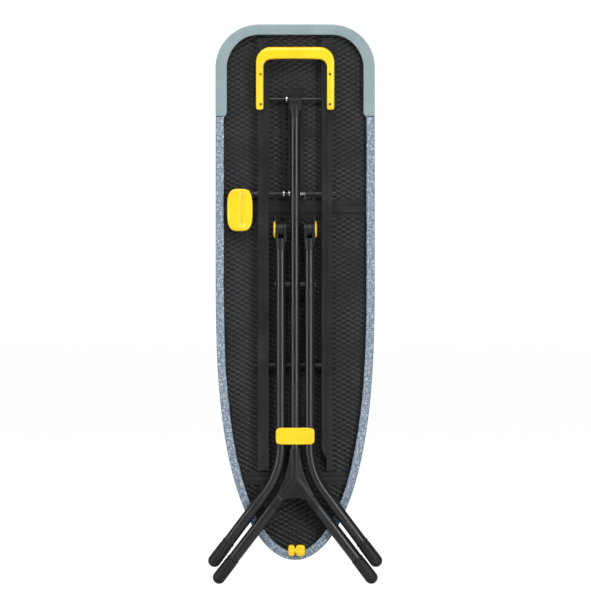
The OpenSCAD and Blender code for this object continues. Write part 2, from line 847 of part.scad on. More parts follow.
module clip_screws() {
  w0 = leg_w + tube_r + seat + clip_t;
  color(silver) both() {
    stud(twin_x, clip_z + clip_h / 2, screw_r, leg_w + clip_screw_start, w0);
    stud(twin_x, clip_z + clip_h / 2, screw_r * 1.7, w0, w0 + clip_screw_head);
  }
}
module twin_foot_left() {
  left() at_twin_arm(arm_l) foot_cap();
}
module twin_foot_right() {
  at_twin_arm(arm_l) foot_cap();
}

mesh_panel();
rim_frame();
felt_pad();
cover_cloth();
cover_hem();
end_trim();
rail_left();
rail_right();
mid_brace();
nose_brace();
cross_strap();
height_rack();
strut_axle();
axle_nuts();
rail_rivets();
carry_handle();
handle_screws();
lever_bearings();
cord_toggle();
toggle_button();
lever_rod();
lever_paddle();
latch_pawl();
lever_spring();
head_axle();
head_glides();
head_pawl();
head_bracket();
centre_tube();
pivot_bush();
y_junction();
centre_arm_left();
centre_arm_right();
centre_foot_left();
centre_foot_right();
strut_tube_left();
strut_tube_right();
strut_tongue_left();
strut_tongue_right();
strut_sleeve();
twin_tube_left();
twin_tube_right();
knuckle_left();
knuckle_right();
hub_discs();
hub_pins();
pivot_bolts();
pivot_spacers();
leg_clip();
clip_screws();
twin_foot_left();
twin_foot_right();
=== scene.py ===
# %% [markdown]
# # A folding ironing board, seen from underneath
# The board stands on its nose with its legs folded flat. Its frame and joints come from the CAD model
# and are never changed here. What this lesson adds is what a machine shop doesn't draw: the
# stretched cloth, the felt, the expanded metal, the moulded yellow parts with their soft edges, and a
# finish for every surface. Lengths are metres. X is right, Z is up, and -Y is the underside.

import bmesh
import bpy
import numpy as np
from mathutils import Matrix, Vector


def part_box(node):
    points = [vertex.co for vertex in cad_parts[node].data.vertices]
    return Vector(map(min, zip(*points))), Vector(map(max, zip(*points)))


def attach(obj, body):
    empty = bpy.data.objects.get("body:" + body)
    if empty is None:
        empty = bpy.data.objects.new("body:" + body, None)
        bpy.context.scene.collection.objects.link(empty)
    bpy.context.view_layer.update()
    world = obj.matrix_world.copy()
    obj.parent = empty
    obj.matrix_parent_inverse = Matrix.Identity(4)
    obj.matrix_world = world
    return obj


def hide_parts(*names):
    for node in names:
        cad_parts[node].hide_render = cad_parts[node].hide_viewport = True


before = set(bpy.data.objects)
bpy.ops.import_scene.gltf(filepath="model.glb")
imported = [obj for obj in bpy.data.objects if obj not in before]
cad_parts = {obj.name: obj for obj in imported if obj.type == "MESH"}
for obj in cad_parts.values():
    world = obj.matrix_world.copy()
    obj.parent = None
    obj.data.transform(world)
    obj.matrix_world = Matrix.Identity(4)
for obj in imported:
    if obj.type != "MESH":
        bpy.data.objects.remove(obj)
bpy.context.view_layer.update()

# %% [markdown]
# ## Where things are
# Every place is read from a CAD node's box, so a piece follows its node if the design changes. Depths
# are counted from the ironing face down to the legs, because that is how the board is stacked: cloth,
# felt, mesh, rim, rails, legs. The function `deep` turns such a depth into a Y.

# %% Places from the frame
MM = 0.001
cloth_low, cloth_high = np.array(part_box("cover_cloth"))
rim_low = np.array(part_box("rim_frame"))[0]
hem_low = np.array(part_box("cover_hem"))[0]
trim_low = np.array(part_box("end_trim"))[0]
mesh_low = np.array(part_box("mesh_panel"))[0]
pad_low, pad_high = np.array(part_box("felt_pad"))

FACE_Y = cloth_high[1]
HALF = cloth_high[0]
NOSE, TOP = cloth_low[2], cloth_high[2]
TAPER = 661 * MM
TAPER_POWER = 2.75
CORNER = 99 * MM
RIM_W = FACE_Y - rim_low[1]
HEM_W = FACE_Y - hem_low[1]
TRIM_W = FACE_Y - trim_low[1]
TRIM_Z = trim_low[2]
MESH_W = FACE_Y - mesh_low[1]
HEM_WIDTH = 19 * MM
TRIM_WIDTH = 26 * MM


def deep(depth):
    """A depth below the ironing face as a Y."""
    return FACE_Y - depth


print(f"board {2 * HALF:.3f} x {TOP - NOSE:.3f} m, rim ends {RIM_W * 1000:.1f} mm below the face")

# %% [markdown]
# ## Surfaces from arrays
# A surface is a grid of points: rows one way, columns the other. Joining each point to its neighbours
# gives quads, and a grid can close on itself either way, as a ring or a tube does. Everything is done on
# whole arrays, which is quick and keeps the shape's formula in one place.


# %% Grid to mesh
def grid_quads(rows, columns, ring_rows=False, ring_columns=False):
    """Quads of a grid whose point (i, j) is number i * columns + j, wrapping round where asked."""
    i = np.arange(rows if ring_rows else rows - 1)
    j = np.arange(columns if ring_columns else columns - 1)
    i, j = np.meshgrid(i, j, indexing="ij")
    i2, j2 = (i + 1) % rows, (j + 1) % columns
    corners = [i * columns + j, i * columns + j2, i2 * columns + j2, i2 * columns + j]
    return np.stack(corners, axis=-1).reshape(-1, 4)


def to_mesh(name, points, quads, uv=None):
    """A mesh from points (n, 3) and quads (m, 4); uv gives each point its place on a flat pattern."""
    mesh = bpy.data.meshes.new(name)
    points = np.ascontiguousarray(points.reshape(-1, 3), dtype=np.float32)
    quads = np.ascontiguousarray(quads, dtype=np.int32)
    mesh.vertices.add(len(points))
    mesh.vertices.foreach_set("co", points.ravel())
    mesh.loops.add(quads.size)
    mesh.loops.foreach_set("vertex_index", quads.ravel())
    mesh.polygons.add(len(quads))
    mesh.polygons.foreach_set("loop_start", np.arange(len(quads), dtype=np.int32) * 4)
    mesh.polygons.foreach_set("use_smooth", np.ones(len(quads), dtype=bool))
    if uv is not None:
        layer = mesh.uv_layers.new(name="flat_cut")
        layer.data.foreach_set("uv", uv.reshape(-1, 2)[quads.ravel()].astype(np.float32).ravel())
    mesh.update(calc_edges=True)
    mesh.validate()
    return mesh


def outwards(mesh, merge=1e-6):
    """Merges doubled points, drops faces with no area and turns every face outwards."""
    b = bmesh.new()
    b.from_mesh(mesh)
    bmesh.ops.remove_doubles(b, verts=b.verts, dist=merge)
    bmesh.ops.dissolve_degenerate(b, edges=b.edges, dist=merge / 2)
    bmesh.ops.recalc_face_normals(b, faces=b.faces)
    b.to_mesh(mesh)
    b.free()


def piece(name, mesh, material, body):
    """Puts a mesh in the scene as a named piece with its material, riding on a body."""
    obj = bpy.data.objects.new(name, mesh)
    bpy.context.scene.collection.objects.link(obj)
    mesh.materials.append(material)
    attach(obj, body)
    print(f"  {name}: {len(mesh.polygons)} faces on {body}")
    return obj


def joined(parts):
    """Several (points, quads) as one, with the later quads renumbered."""
    starts = np.cumsum([0] + [len(p.reshape(-1, 3)) for p, _ in parts[:-1]])
    points = np.concatenate([p.reshape(-1, 3) for p, _ in parts])
    quads = np.concatenate([q + s for (_, q), s in zip(parts, starts, strict=True)])
    return points, quads


def bake(obj):
    """Applies an object's modifiers to its mesh."""
    graph = bpy.context.evaluated_depsgraph_get()
    mesh = bpy.data.meshes.new_from_object(obj.evaluated_get(graph))
    old = obj.data
    obj.modifiers.clear()
    obj.data = mesh
    mesh.name = old.name
    bpy.data.meshes.remove(old)


def power_wave(angle, squareness):
    """Cosine and sine of a superellipse: 2 is a circle, and more is squarer."""
    c, s = np.cos(angle), np.sin(angle)
    e = 2 / squareness
    return np.sign(c) * np.abs(c) ** e, np.sign(s) * np.abs(s) ** e


def smooth_step(x, low, high):
    """0 below low and 1 above high, with a smooth rise between."""
    t = np.clip((x - low) / (high - low), 0, 1)
    return t * t * (3 - 2 * t)


def lathe(profile, centre, direction, count=48):
    """Turns a profile of (along, radius) about an axis through centre along a direction."""
    direction = np.array(direction, float) / np.linalg.norm(direction)
    side = np.cross(direction, [0.0, 1.0, 0.0])
    if np.linalg.norm(side) < 0.1:
        side = np.cross(direction, [1.0, 0.0, 0.0])
    side /= np.linalg.norm(side)
    up = np.cross(direction, side)
    along, radius = np.array(profile, float).T
    a = np.linspace(0, 2 * np.pi, count, endpoint=False)
    ring = np.cos(a)[:, None] * side + np.sin(a)[:, None] * up
    points = np.array(centre) + along[:, None, None] * direction + radius[:, None, None] * ring[None]
    return points, grid_quads(len(along), count, ring_columns=True)


def rounded(profile, radius, steps=4):
    """Rounds the corners of an open (along, radius) outline with short arcs that start radius away."""
    p = np.array(profile, float)
    out = [p[0][None]]
    for a, b, c in zip(p[:-2], p[1:-1], p[2:], strict=True):
        r = min(radius, 0.45 * np.linalg.norm(a - b), 0.45 * np.linalg.norm(c - b))
        start = b + (a - b) / np.linalg.norm(a - b) * r
        end = b + (c - b) / np.linalg.norm(c - b) * r
        t = np.linspace(0, 1, steps + 1)[:, None]
        out.append((1 - t) ** 2 * start + 2 * t * (1 - t) * b + t**2 * end)
    out.append(p[-1][None])
    return np.concatenate(out)


# %% [markdown]
# ## Shader groups
# Three effects turn up again and again: a fine grain that breaks up a flat colour, a weave, and the
# dust and rubbing that any used thing collects. Each is a node group built once. A group puts out only
# colours, masks and heights, and the Principled shader stays in the material, where its plain numbers
# are set on its own sockets.


# %% Group helpers
def new_group(name, inputs, outputs):
    """An empty shader group with named sockets: inputs are (name, kind, default), outputs (name, kind)."""
    group = bpy.data.node_groups.new(name, "ShaderNodeTree")
    for label, kind, default in inputs:
        socket = group.interface.new_socket(label, in_out="INPUT", socket_type=kind)
        if default is not None:
            socket.default_value = default
    for label, kind in outputs:
        group.interface.new_socket(label, in_out="OUTPUT", socket_type=kind)
    return group, group.nodes.new("NodeGroupInput"), group.nodes.new("NodeGroupOutput")


def node(tree, kind, **settings):
    """A node of a kind; settings whose name starts with in_ fill its inputs by number."""
    made = tree.nodes.new(kind)
    for key, value in settings.items():
        if key.startswith("in_"):
            made.inputs[int(key[3:])].default_value = value
        else:
            setattr(made, key, value)
    return made


def chain(tree, *pairs):
    """Links each (from socket, to socket)."""
    for start, end in pairs:
        tree.links.new(start, end)


def math(tree, operation, a, b=None, clamp=False):
    """A math node whose inputs are sockets or numbers."""
    made = node(tree, "ShaderNodeMath", operation=operation, use_clamp=clamp)
    for i, value in enumerate((a, b)):
        if value is None:
            continue
        if hasattr(value, "links"):
            tree.links.new(value, made.inputs[i])
        else:
            made.inputs[i].default_value = value
    return made.outputs[0]


def ramp(tree, value, low, high, to_low=0.0, to_high=1.0):
    """Carries a value from low..high to to_low..to_high, clamped."""
    made = node(tree, "ShaderNodeMapRange", in_1=low, in_2=high, in_3=to_low, in_4=to_high)
    tree.links.new(value, made.inputs[0])
    return made.outputs[0]


def blend(tree, mask, low, high):
    """Mixes two colours by a mask. Each is a colour or a socket."""
    made = node(tree, "ShaderNodeMix", data_type="RGBA")
    tree.links.new(mask, made.inputs[0])
    for i, value in ((6, low), (7, high)):
        if hasattr(value, "links"):
            tree.links.new(value, made.inputs[i])
        else:
            made.inputs[i].default_value = (*value, 1) if len(value) == 3 else value
    return made.outputs[2]


# %% Grain: a fine height with slow patches over it
def make_grain():
    """Height is fine noise; Patch is slow noise, for colour and gloss that drift over a surface."""
    group, start, end = new_group(
        "moulded_grain",
        [("Vector", "NodeSocketVector", None), ("Fine", "NodeSocketFloat", 900.0),
         ("Slow", "NodeSocketFloat", 14.0)],
        [("Height", "NodeSocketFloat"), ("Patch", "NodeSocketFloat")],
    )
    fine = node(group, "ShaderNodeTexNoise", in_3=3.0, in_4=0.6)
    slow = node(group, "ShaderNodeTexNoise", in_3=4.0, in_4=0.55)
    chain(group, (start.outputs[0], fine.inputs[0]), (start.outputs[1], fine.inputs[2]),
          (start.outputs[0], slow.inputs[0]), (start.outputs[2], slow.inputs[2]),
          (fine.outputs[0], end.inputs[0]),
          (ramp(group, slow.outputs[0], 0.32, 0.68), end.inputs[1]))
    return group


# %% Handling: dust in broad smears and small pale scratches
def make_handling():
    """Dust is a soft mask of smears; Scratch is a mask of thin broken lines."""
    group, start, end = new_group(
        "handling_marks",
        [("Vector", "NodeSocketVector", None), ("Amount", "NodeSocketFloat", 0.3)],
        [("Dust", "NodeSocketFloat"), ("Scratch", "NodeSocketFloat")],
    )
    smear = node(group, "ShaderNodeTexNoise", in_2=9.0, in_3=6.0, in_4=0.7)
    stretch = node(group, "ShaderNodeMapping", in_3=(160.0, 160.0, 9.0))
    line = node(group, "ShaderNodeTexNoise", in_2=1.0, in_3=2.0)
    chain(group, (start.outputs[0], smear.inputs[0]), (start.outputs[0], stretch.inputs[0]),
          (stretch.outputs[0], line.inputs[0]))
    dust = ramp(group, smear.outputs[0], 0.5, 0.78)
    scratch = ramp(group, line.outputs[0], 0.71, 0.75)
    chain(group, (math(group, "MULTIPLY", dust, start.outputs[1]), end.inputs[0]),
          (math(group, "MULTIPLY", scratch, start.outputs[1]), end.inputs[1]))
    return group


# %% Weave: over and under threads on a flat pattern
def make_weave():
    """Two crossed waves: where one thread is on top the other dips. Flecks are long pale slubs."""
    group, start, end = new_group(
        "plain_weave",
        [("Vector", "NodeSocketVector", None), ("Threads", "NodeSocketFloat", 900.0)],
        [("Height", "NodeSocketFloat"), ("Warp", "NodeSocketFloat"), ("Fleck", "NodeSocketFloat")],
    )
    split = node(group, "ShaderNodeSeparateXYZ")
    chain(group, (start.outputs[0], split.inputs[0]))
    turn = np.pi * 2
    x = math(group, "MULTIPLY", split.outputs[0], start.outputs[1])
    y = math(group, "MULTIPLY", split.outputs[1], start.outputs[1])
    over = math(group, "SINE", math(group, "MULTIPLY", x, turn / 2))
    under = math(group, "SINE", math(group, "MULTIPLY", y, turn / 2))
    warp = math(group, "MULTIPLY", over, under)
    threads = math(group, "ABSOLUTE", warp)
    flecks = []
    for squash, seed in (((450.0, 110.0, 1.0), 0.0), ((110.0, 450.0, 1.0), 7.3)):
        mapping = node(group, "ShaderNodeMapping", in_1=(seed, seed, 0.0), in_3=squash)
        noise = node(group, "ShaderNodeTexNoise", in_2=1.0, in_3=2.0, in_4=0.6)
        chain(group, (start.outputs[0], mapping.inputs[0]), (mapping.outputs[0], noise.inputs[0]))
        flecks.append(noise.outputs[0])
    fleck = math(group, "MAXIMUM", flecks[0], flecks[1])
    chain(group, (threads, end.inputs[0]), (ramp(group, warp, -1, 1), end.inputs[1]),
          (fleck, end.inputs[2]))
    return group


GRAIN, HANDLING, WEAVE = make_grain(), make_handling(), make_weave()
print("shader groups:", [g.name for g in (GRAIN, HANDLING, WEAVE)])

# %% [markdown]
# ## Finishes
# Powder coat is black paint that was melted on: it is smooth with a faint orange peel, and reflects a
# window as a soft streak. Glass-filled nylon is as black, but duller and grainier. The yellow parts are
# glossy polypropylene, which lets a little light in, so their shaded sides turn orange and not grey.


# %% A material with its shader and coordinates ready
def finish(name, slot_coordinates="Object"):
    """A new material with a Principled shader; gives the material, its tree, shader and vector socket."""
    material = bpy.data.materials.new(name)
    material.use_nodes = True
    tree = material.node_tree
    shader = tree.nodes["Principled BSDF"]
    place = tree.nodes.new("ShaderNodeTexCoord")
    return material, tree, shader, place.outputs[slot_coordinates]


def use(tree, group, vector, **values):
    """A placed group fed with a vector, with its named inputs set."""
    made = tree.nodes.new("ShaderNodeGroup")
    made.node_tree = group
    tree.links.new(vector, made.inputs["Vector"])
    for label, value in values.items():
        made.inputs[label].default_value = value
    return made


def bump(tree, shader, height, depth, strength=1.0):
    """A height map in metres of depth on a shader's normal."""
    made = node(tree, "ShaderNodeBump", in_0=strength, in_1=depth)
    chain(tree, (height, made.inputs["Height"]), (made.outputs[0], shader.inputs["Normal"]))


def moulded(name, dark, light, rough, fine, depth, dust=0.25, dust_colour=(0.3, 0.29, 0.27),
            coat=0.0, specular=0.5, scatter=0.0):
    """Paint or plastic: colour drifts between dark and light, dust dulls it, and grain breaks the gloss."""
    material, tree, shader, vector = finish(name)
    grain = use(tree, GRAIN, vector, Fine=fine)
    marks = use(tree, HANDLING, vector, Amount=dust)
    base = blend(tree, grain.outputs["Patch"], dark, light)
    dusty = blend(tree, math(tree, "MULTIPLY", marks.outputs["Dust"], 0.18), base, dust_colour)
    marked = blend(tree, math(tree, "MULTIPLY", marks.outputs["Scratch"], 0.5), dusty, dust_colour)
    gloss = ramp(tree, grain.outputs["Patch"], 0, 1, rough - 0.05, rough + 0.06)
    worn = math(tree, "ADD", gloss, math(tree, "MULTIPLY", marks.outputs["Dust"], 0.5), clamp=True)
    chain(tree, (marked, shader.inputs["Base Color"]), (worn, shader.inputs["Roughness"]))
    shader.inputs["Coat Weight"].default_value = coat
    shader.inputs["Coat Roughness"].default_value = 0.12
    shader.inputs["Specular IOR Level"].default_value = specular
    if scatter:
        shader.inputs["Subsurface Weight"].default_value = scatter
        shader.inputs["Subsurface Radius"].default_value = (0.004, 0.002, 0.0004)
        shader.inputs["Subsurface Scale"].default_value = 1.0
    bump(tree, shader, grain.outputs["Height"], depth)
    return material


# %% Paint, nylon, rubber and the coloured plastics
powder_coat = moulded("black_powder_coat", (0.005, 0.005, 0.006), (0.009, 0.009, 0.010), 0.34, 700, 5e-5,
                      dust=0.04)
mesh_paint = moulded("black_dipped_paint", (0.012, 0.012, 0.012), (0.026, 0.026, 0.027), 0.40, 500, 8e-5,
                     dust=0.2)
nylon = moulded("black_nylon", (0.004, 0.004, 0.005), (0.008, 0.008, 0.009), 0.42, 1600, 9e-5, dust=0.1,
                specular=0.32)
rubber = moulded("foot_rubber", (0.005, 0.005, 0.006), (0.010, 0.010, 0.010), 0.52, 1100, 1.2e-4, dust=0.15,
                 specular=0.3)
yellow = moulded("yellow_polypropylene", (0.82, 0.53, 0.004), (0.86, 0.60, 0.007), 0.33, 1400, 4e-5,
                 dust=0.05, dust_colour=(0.55, 0.42, 0.12), coat=0.12, scatter=0.12)
grey_trim = moulded("grey_green_trim", (0.205, 0.270, 0.290), (0.235, 0.305, 0.322), 0.4, 1300, 5e-5,
                    dust=0.3, dust_colour=(0.5, 0.52, 0.5))


# %% Zinc plate, with a lathe's fine rings and a cloudy passivation
def zinc_plate():
    """Metal whose gloss and tint drift in clouds, with turned rings along its length."""
    material, tree, shader, vector = finish("zinc_plate")
    grain = use(tree, GRAIN, vector, Fine=260, Slow=60)
    base = blend(tree, grain.outputs["Patch"], (0.42, 0.43, 0.45), (0.66, 0.67, 0.68))
    chain(tree, (base, shader.inputs["Base Color"]),
          (ramp(tree, grain.outputs["Height"], 0.3, 0.7, 0.22, 0.42), shader.inputs["Roughness"]))
    shader.inputs["Metallic"].default_value = 1.0
    mapping = node(tree, "ShaderNodeMapping", in_3=(2600.0, 30.0, 30.0))
    turned = node(tree, "ShaderNodeTexNoise", in_2=1.0, in_3=2.0)
    chain(tree, (vector, mapping.inputs[0]), (mapping.outputs[0], turned.inputs[0]))
    bump(tree, shader, turned.outputs[0], 2e-5)
    return material


# %% Heathered cloth: pale and dark yarns twisted together
def heather(name, deep_yarn, mid_yarn, pale_yarn):
    """Plain weave on the flat cut, with slubs of pale and deep yarn and a fine nap."""
    material, tree, shader, _ = finish(name)
    pattern = tree.nodes.new("ShaderNodeUVMap")
    pattern.uv_map = "flat_cut"
    weave = use(tree, WEAVE, pattern.outputs[0], Threads=1050.0)
    grain = use(tree, GRAIN, pattern.outputs[0], Fine=420, Slow=30)
    cross = blend(tree, weave.outputs["Warp"], deep_yarn, mid_yarn)
    drift = blend(tree, math(tree, "MULTIPLY", grain.outputs["Patch"], 0.35), cross, mid_yarn)
    pale = math(tree, "MULTIPLY", ramp(tree, weave.outputs["Fleck"], 0.57, 0.65), 0.85)
    flecked = blend(tree, pale, drift, pale_yarn)
    worn = math(tree, "MULTIPLY", ramp(tree, weave.outputs["Fleck"], 0.54, 0.47), 0.75)
    chain(tree, (blend(tree, worn, flecked, deep_yarn), shader.inputs["Base Color"]))
    shader.inputs["Roughness"].default_value = 0.88
    shader.inputs["Sheen Weight"].default_value = 0.25
    shader.inputs["Sheen Roughness"].default_value = 0.5
    shader.inputs["Specular IOR Level"].default_value = 0.25
    height = math(tree, "ADD", weave.outputs["Height"],
                  math(tree, "MULTIPLY", grain.outputs["Height"], 0.8))
    bump(tree, shader, height, 1.6e-4)
    return material


def felt_stuff():
    """Needled felt: matted noise in two sizes with no direction, on a near-black colour that is painted
    shade for the pad's shaded underside behind the mesh.
    """
    material, tree, shader, vector = finish("felt_dark_as_painted_shade")
    coarse = use(tree, GRAIN, vector, Fine=330, Slow=45)
    hair = node(tree, "ShaderNodeTexNoise", in_2=1500.0, in_3=5.0, in_4=0.75)
    chain(tree, (vector, hair.inputs[0]))
    # The near-black base is painted shade: it keeps the pad as dark as the shade behind the mesh.
    base = blend(tree, coarse.outputs["Patch"], (0.004, 0.004, 0.005), (0.011, 0.011, 0.012))
    chain(tree, (blend(tree, ramp(tree, hair.outputs[0], 0.5, 0.72), base, (0.022, 0.022, 0.024)),
                 shader.inputs["Base Color"]))
    shader.inputs["Roughness"].default_value = 0.95
    shader.inputs["Sheen Weight"].default_value = 0.1
    bump(tree, shader, math(tree, "ADD", coarse.outputs["Height"], hair.outputs[0]), 3e-4)
    return material


zinc = zinc_plate()
blue_cloth = heather("blue_heather_cloth", (0.10, 0.145, 0.205), (0.225, 0.285, 0.36), (0.62, 0.67, 0.72))
# The felt's near-black colour is painted shade for the pad seen through the mesh.
felt_dark_as_painted_shade = felt_stuff()
thread = moulded("pale_thread", (0.42, 0.47, 0.53), (0.55, 0.6, 0.65), 0.7, 2200, 1e-4, dust=0.1)
print("finishes:", len(bpy.data.materials))

# %% [markdown]
# ## Finishes on the CAD parts that stay
# Rails, braces, axles, bolts and most tubes are already the right shape, so they only get a finish. The
# assignment goes by what each part is made of.

# %% Dress the CAD nodes
PAINTED = ["rim_frame", "rail_left", "rail_right", "mid_brace", "nose_brace", "cross_strap",
           "height_rack", "lever_bearings", "centre_tube", "centre_arm_left", "centre_arm_right",
           "strut_tube_left", "strut_tube_right", "twin_tube_left", "twin_tube_right", "lever_rod",
           "strut_axle", "head_axle", "axle_nuts", "rail_rivets", "handle_screws", "pivot_bolts"]
ZINC = ["latch_pawl", "head_pawl", "pivot_bush", "hub_pins", "clip_screws", "lever_spring"]
MOULDED = ["head_glides", "head_bracket", "y_junction", "strut_tongue_left", "strut_tongue_right",
           "strut_sleeve", "knuckle_left", "knuckle_right", "pivot_spacers"]
FEET = ["centre_foot_left", "centre_foot_right", "twin_foot_left", "twin_foot_right"]
YELLOW = ["carry_handle", "cord_toggle", "toggle_button", "lever_paddle", "hub_discs", "leg_clip"]
SOFT = {"cover_cloth": blue_cloth, "cover_hem": blue_cloth, "felt_pad": felt_dark_as_painted_shade,
        "end_trim": grey_trim, "mesh_panel": mesh_paint}


def dress(names, material):
    """Gives CAD nodes a material in every slot they have."""
    for name in names:
        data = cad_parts[name].data
        if not len(data.materials):
            data.materials.append(material)
        for i in range(len(data.materials)):
            data.materials[i] = material


for names, material in ((PAINTED, powder_coat), (ZINC, zinc), (MOULDED, nylon), (FEET, rubber),
                        (YELLOW, yellow)):
    dress(names, material)
for name, material in SOFT.items():
    dress([name], material)
print("dressed", sum(len(n) for n in (PAINTED, ZINC, MOULDED, FEET, YELLOW)) + len(SOFT), "nodes")

# %% [markdown]
# ## The board's outline
# The plan is a blunt nose that swells into straight sides, and a square end with round corners. The
# nose follows a superellipse: half the width times the root of one minus a power of the way still to
# go. All the edge pieces (cloth, trim, stitches) are carried along this one line, so it is worked out
# once, at even steps, with the normals that point away from the board.


# %% Outline at even steps
def board_outline(count):
    """count (x, z) points at even steps from the nose up the +X side and round, and their normals."""
    t = TAPER * np.linspace(0, 1, 500) ** 2
    nose = np.stack([HALF * np.sqrt(1 - (1 - t / TAPER) ** TAPER_POWER), NOSE + t], axis=1)
    a = np.linspace(0, np.pi / 2, 80)
    end = np.stack([HALF - CORNER + CORNER * np.cos(a), TOP - CORNER + CORNER * np.sin(a)], axis=1)
    right = np.concatenate([nose, end])
    loop = np.concatenate([right, right[::-1] * [-1, 1]])
    step = np.linalg.norm(np.diff(loop, axis=0), axis=1)
    along = np.concatenate([[0], np.cumsum(step)])
    s = np.linspace(0, along[-1], count, endpoint=False)
    p = np.stack([np.interp(s, along, loop[:, k]) for k in (0, 1)], axis=1)
    tangent = np.roll(p, -1, axis=0) - np.roll(p, 1, axis=0)
    tangent /= np.linalg.norm(tangent, axis=1)[:, None]
    normal = np.stack([tangent[:, 1], -tangent[:, 0]], axis=1)
    return p, normal, s, along[-1]


def rim_points(p, normal, inset, depth):
    """Points at an inset from the outline and a depth below the face, as (x, y, z)."""
    xz = p - normal * np.broadcast_to(inset, len(p))[:, None]
    y = deep(np.broadcast_to(depth, len(p)))
    return np.stack([xz[:, 0], y, xz[:, 1]], axis=1)


def waves(s, length, seed, terms=9, lowest=6, highest=90):
    """A smooth random wave along a closed line, from seeded sines, between about -1 and 1."""
    rng = np.random.default_rng(seed)
    k = rng.integers(lowest, highest, terms)
    phase = rng.random(terms) * 2 * np.pi
    size = 1 / np.sqrt(k)
    return (np.sin(2 * np.pi * np.outer(s / length, k) + phase) * size).sum(1) / size.sum() * 1.6


edge, edge_normal, edge_s, edge_length = board_outline(1500)
print(f"edge is {edge_length:.3f} m round")

# %% [markdown]
# ## The cover
# A cover is one flat cut of cotton, bigger than the board, pulled down over the edge and gathered
# underneath by a drawstring. So it is one open surface here: the face, a soft shoulder, the side and the
# hem that turns under. The two numbers kept for each point are its place on the board and its place on
# the flat cut, and the second is the UV map, which makes the weave run true and bunch up at the nose.
# The cloth is taut, so a formula serves better than a simulation, which would only relax it.

# %% Cover profile, from the hem's free edge to the face
PROFILE = rounded(
    [(HEM_WIDTH, HEM_W - 0.0016), (HEM_WIDTH - 0.0010, HEM_W - 0.0001), (0.010, HEM_W + 0.0002),
     (0.0012, HEM_W - 0.0006), (0.0, RIM_W - 0.004), (0.0, 0.006), (0.0022, 0.0014), (0.014, 0.0)],
    0.003, 5)
profile_step = np.linalg.norm(np.diff(PROFILE, axis=0), axis=1)
profile_run = np.concatenate([[0], np.cumsum(profile_step)])
SHOULDER = float(profile_run[-1])
FACE_ROWS = 46
in_trim = smooth_step(edge[:, 1], TRIM_Z - 0.006, TRIM_Z + 0.002)
gather = np.clip(1.25 - (edge[:, 1] - NOSE) / 0.30, 0.12, 1) * (1 - in_trim)
pucker = waves(edge_s, edge_length, 4, terms=14, lowest=60, highest=260)
sag = waves(edge_s, edge_length, 9)


def cover_rows():
    """Rows of points from hem to spine with their flat-cut places, each row a loop round the board."""
    rows, flat = [], []
    for (inset, depth), run in zip(PROFILE, profile_run, strict=True):
        under = smooth_step(depth, RIM_W - 0.002, HEM_W)
        free = under * smooth_step(inset, 0.002, HEM_WIDTH)
        tuck = 0.0024 * in_trim
        edge_in = inset + tuck + 0.0010 * free * sag - 0.0012 * free * gather * pucker
        drop = depth + 0.00085 * free * gather * np.abs(pucker) - 0.0016 * in_trim * under
        rows.append(rim_points(edge, edge_normal, edge_in, drop))
        flat.append(edge + edge_normal * (SHOULDER - run - PROFILE[-1][0]))
    shoulder = edge - edge_normal * (PROFILE[-1][0] + 0.0024 * in_trim)[:, None]
    spine = np.stack([np.zeros(len(edge)), np.clip(edge[:, 1], NOSE + 0.17, TOP - 0.18)], axis=1)
    for t in np.linspace(0, 1, FACE_ROWS)[1:]:
        xz = shoulder * (1 - t) + spine * t
        soft = 0.00012 * np.sin(xz[:, 0] * 61 + np.sin(xz[:, 1] * 17)) * np.sin(xz[:, 1] * 43) * t
        rows.append(np.stack([xz[:, 0], deep(0.0002 + np.abs(soft)), xz[:, 1]], axis=1))
        flat.append(xz)
    return np.stack(rows), np.stack(flat)


cover_points, cover_flat = cover_rows()
cover_quads = grid_quads(len(cover_points), len(edge), ring_columns=True)
cover_mesh = to_mesh("cover_sheet", cover_points, cover_quads, cover_flat)
outwards(cover_mesh, 1e-5)
cover = piece("cover_sheet", cover_mesh, blue_cloth, "board")
if cover_mesh.polygons[len(cover_mesh.polygons) // 2].normal.y < -0.5:
    cover_mesh.flip_normals()
thick = cover.modifiers.new("cloth_thickness", "SOLIDIFY")
thick.thickness, thick.offset = 0.0009, -1
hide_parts("cover_cloth", "cover_hem")

# %% [markdown]
# ## Hem stitches
# The drawstring runs in a casing that is sewn down with one row of lockstitch. Each stitch is a small
# bean that dips into the cloth at both ends. There are hundreds, so a bean is only a few faces.


# %% One row of stitches
def stitch_row(inset, pitch, long, thick_r):
    """Beans of six sides, four rings long, laid end to end at an inset on the hem."""
    count = int(edge_length / pitch)
    p, n, s, _ = board_outline(count)
    keep = p[:, 1] < TRIM_Z - 0.006
    p, n = p[keep], n[keep]
    t = np.stack([-n[:, 1], n[:, 0]], axis=1)
    along = np.linspace(-0.5, 0.5, 5) * long
    swell = np.array([0.25, 0.85, 1.0, 0.85, 0.25]) * thick_r
    a = np.linspace(0, 2 * np.pi, 6, endpoint=False)
    xz = (p - n * inset)[:, None, None] + t[:, None, None] * along[None, :, None, None]
    xz = xz + n[:, None, None] * (swell[:, None] * np.cos(a))[None, :, :, None]
    y = deep(HEM_W + 0.0001) - (swell[:, None] * (np.sin(a) * 0.8 + 0.2))[None] * np.ones((len(p), 1, 1))
    points = np.stack([xz[..., 0], y, xz[..., 1]], axis=-1)
    one = grid_quads(5, 6, ring_columns=True)
    quads = (one[None] + (np.arange(len(p)) * 30)[:, None, None]).reshape(-1, 4)
    return points, quads


stitches = to_mesh("hem_stitches", *joined([stitch_row(0.0148, 0.0052, 0.0036, 0.00042)]))
outwards(stitches)
hem_stitches = piece("hem_stitches", stitches, thread, "board")
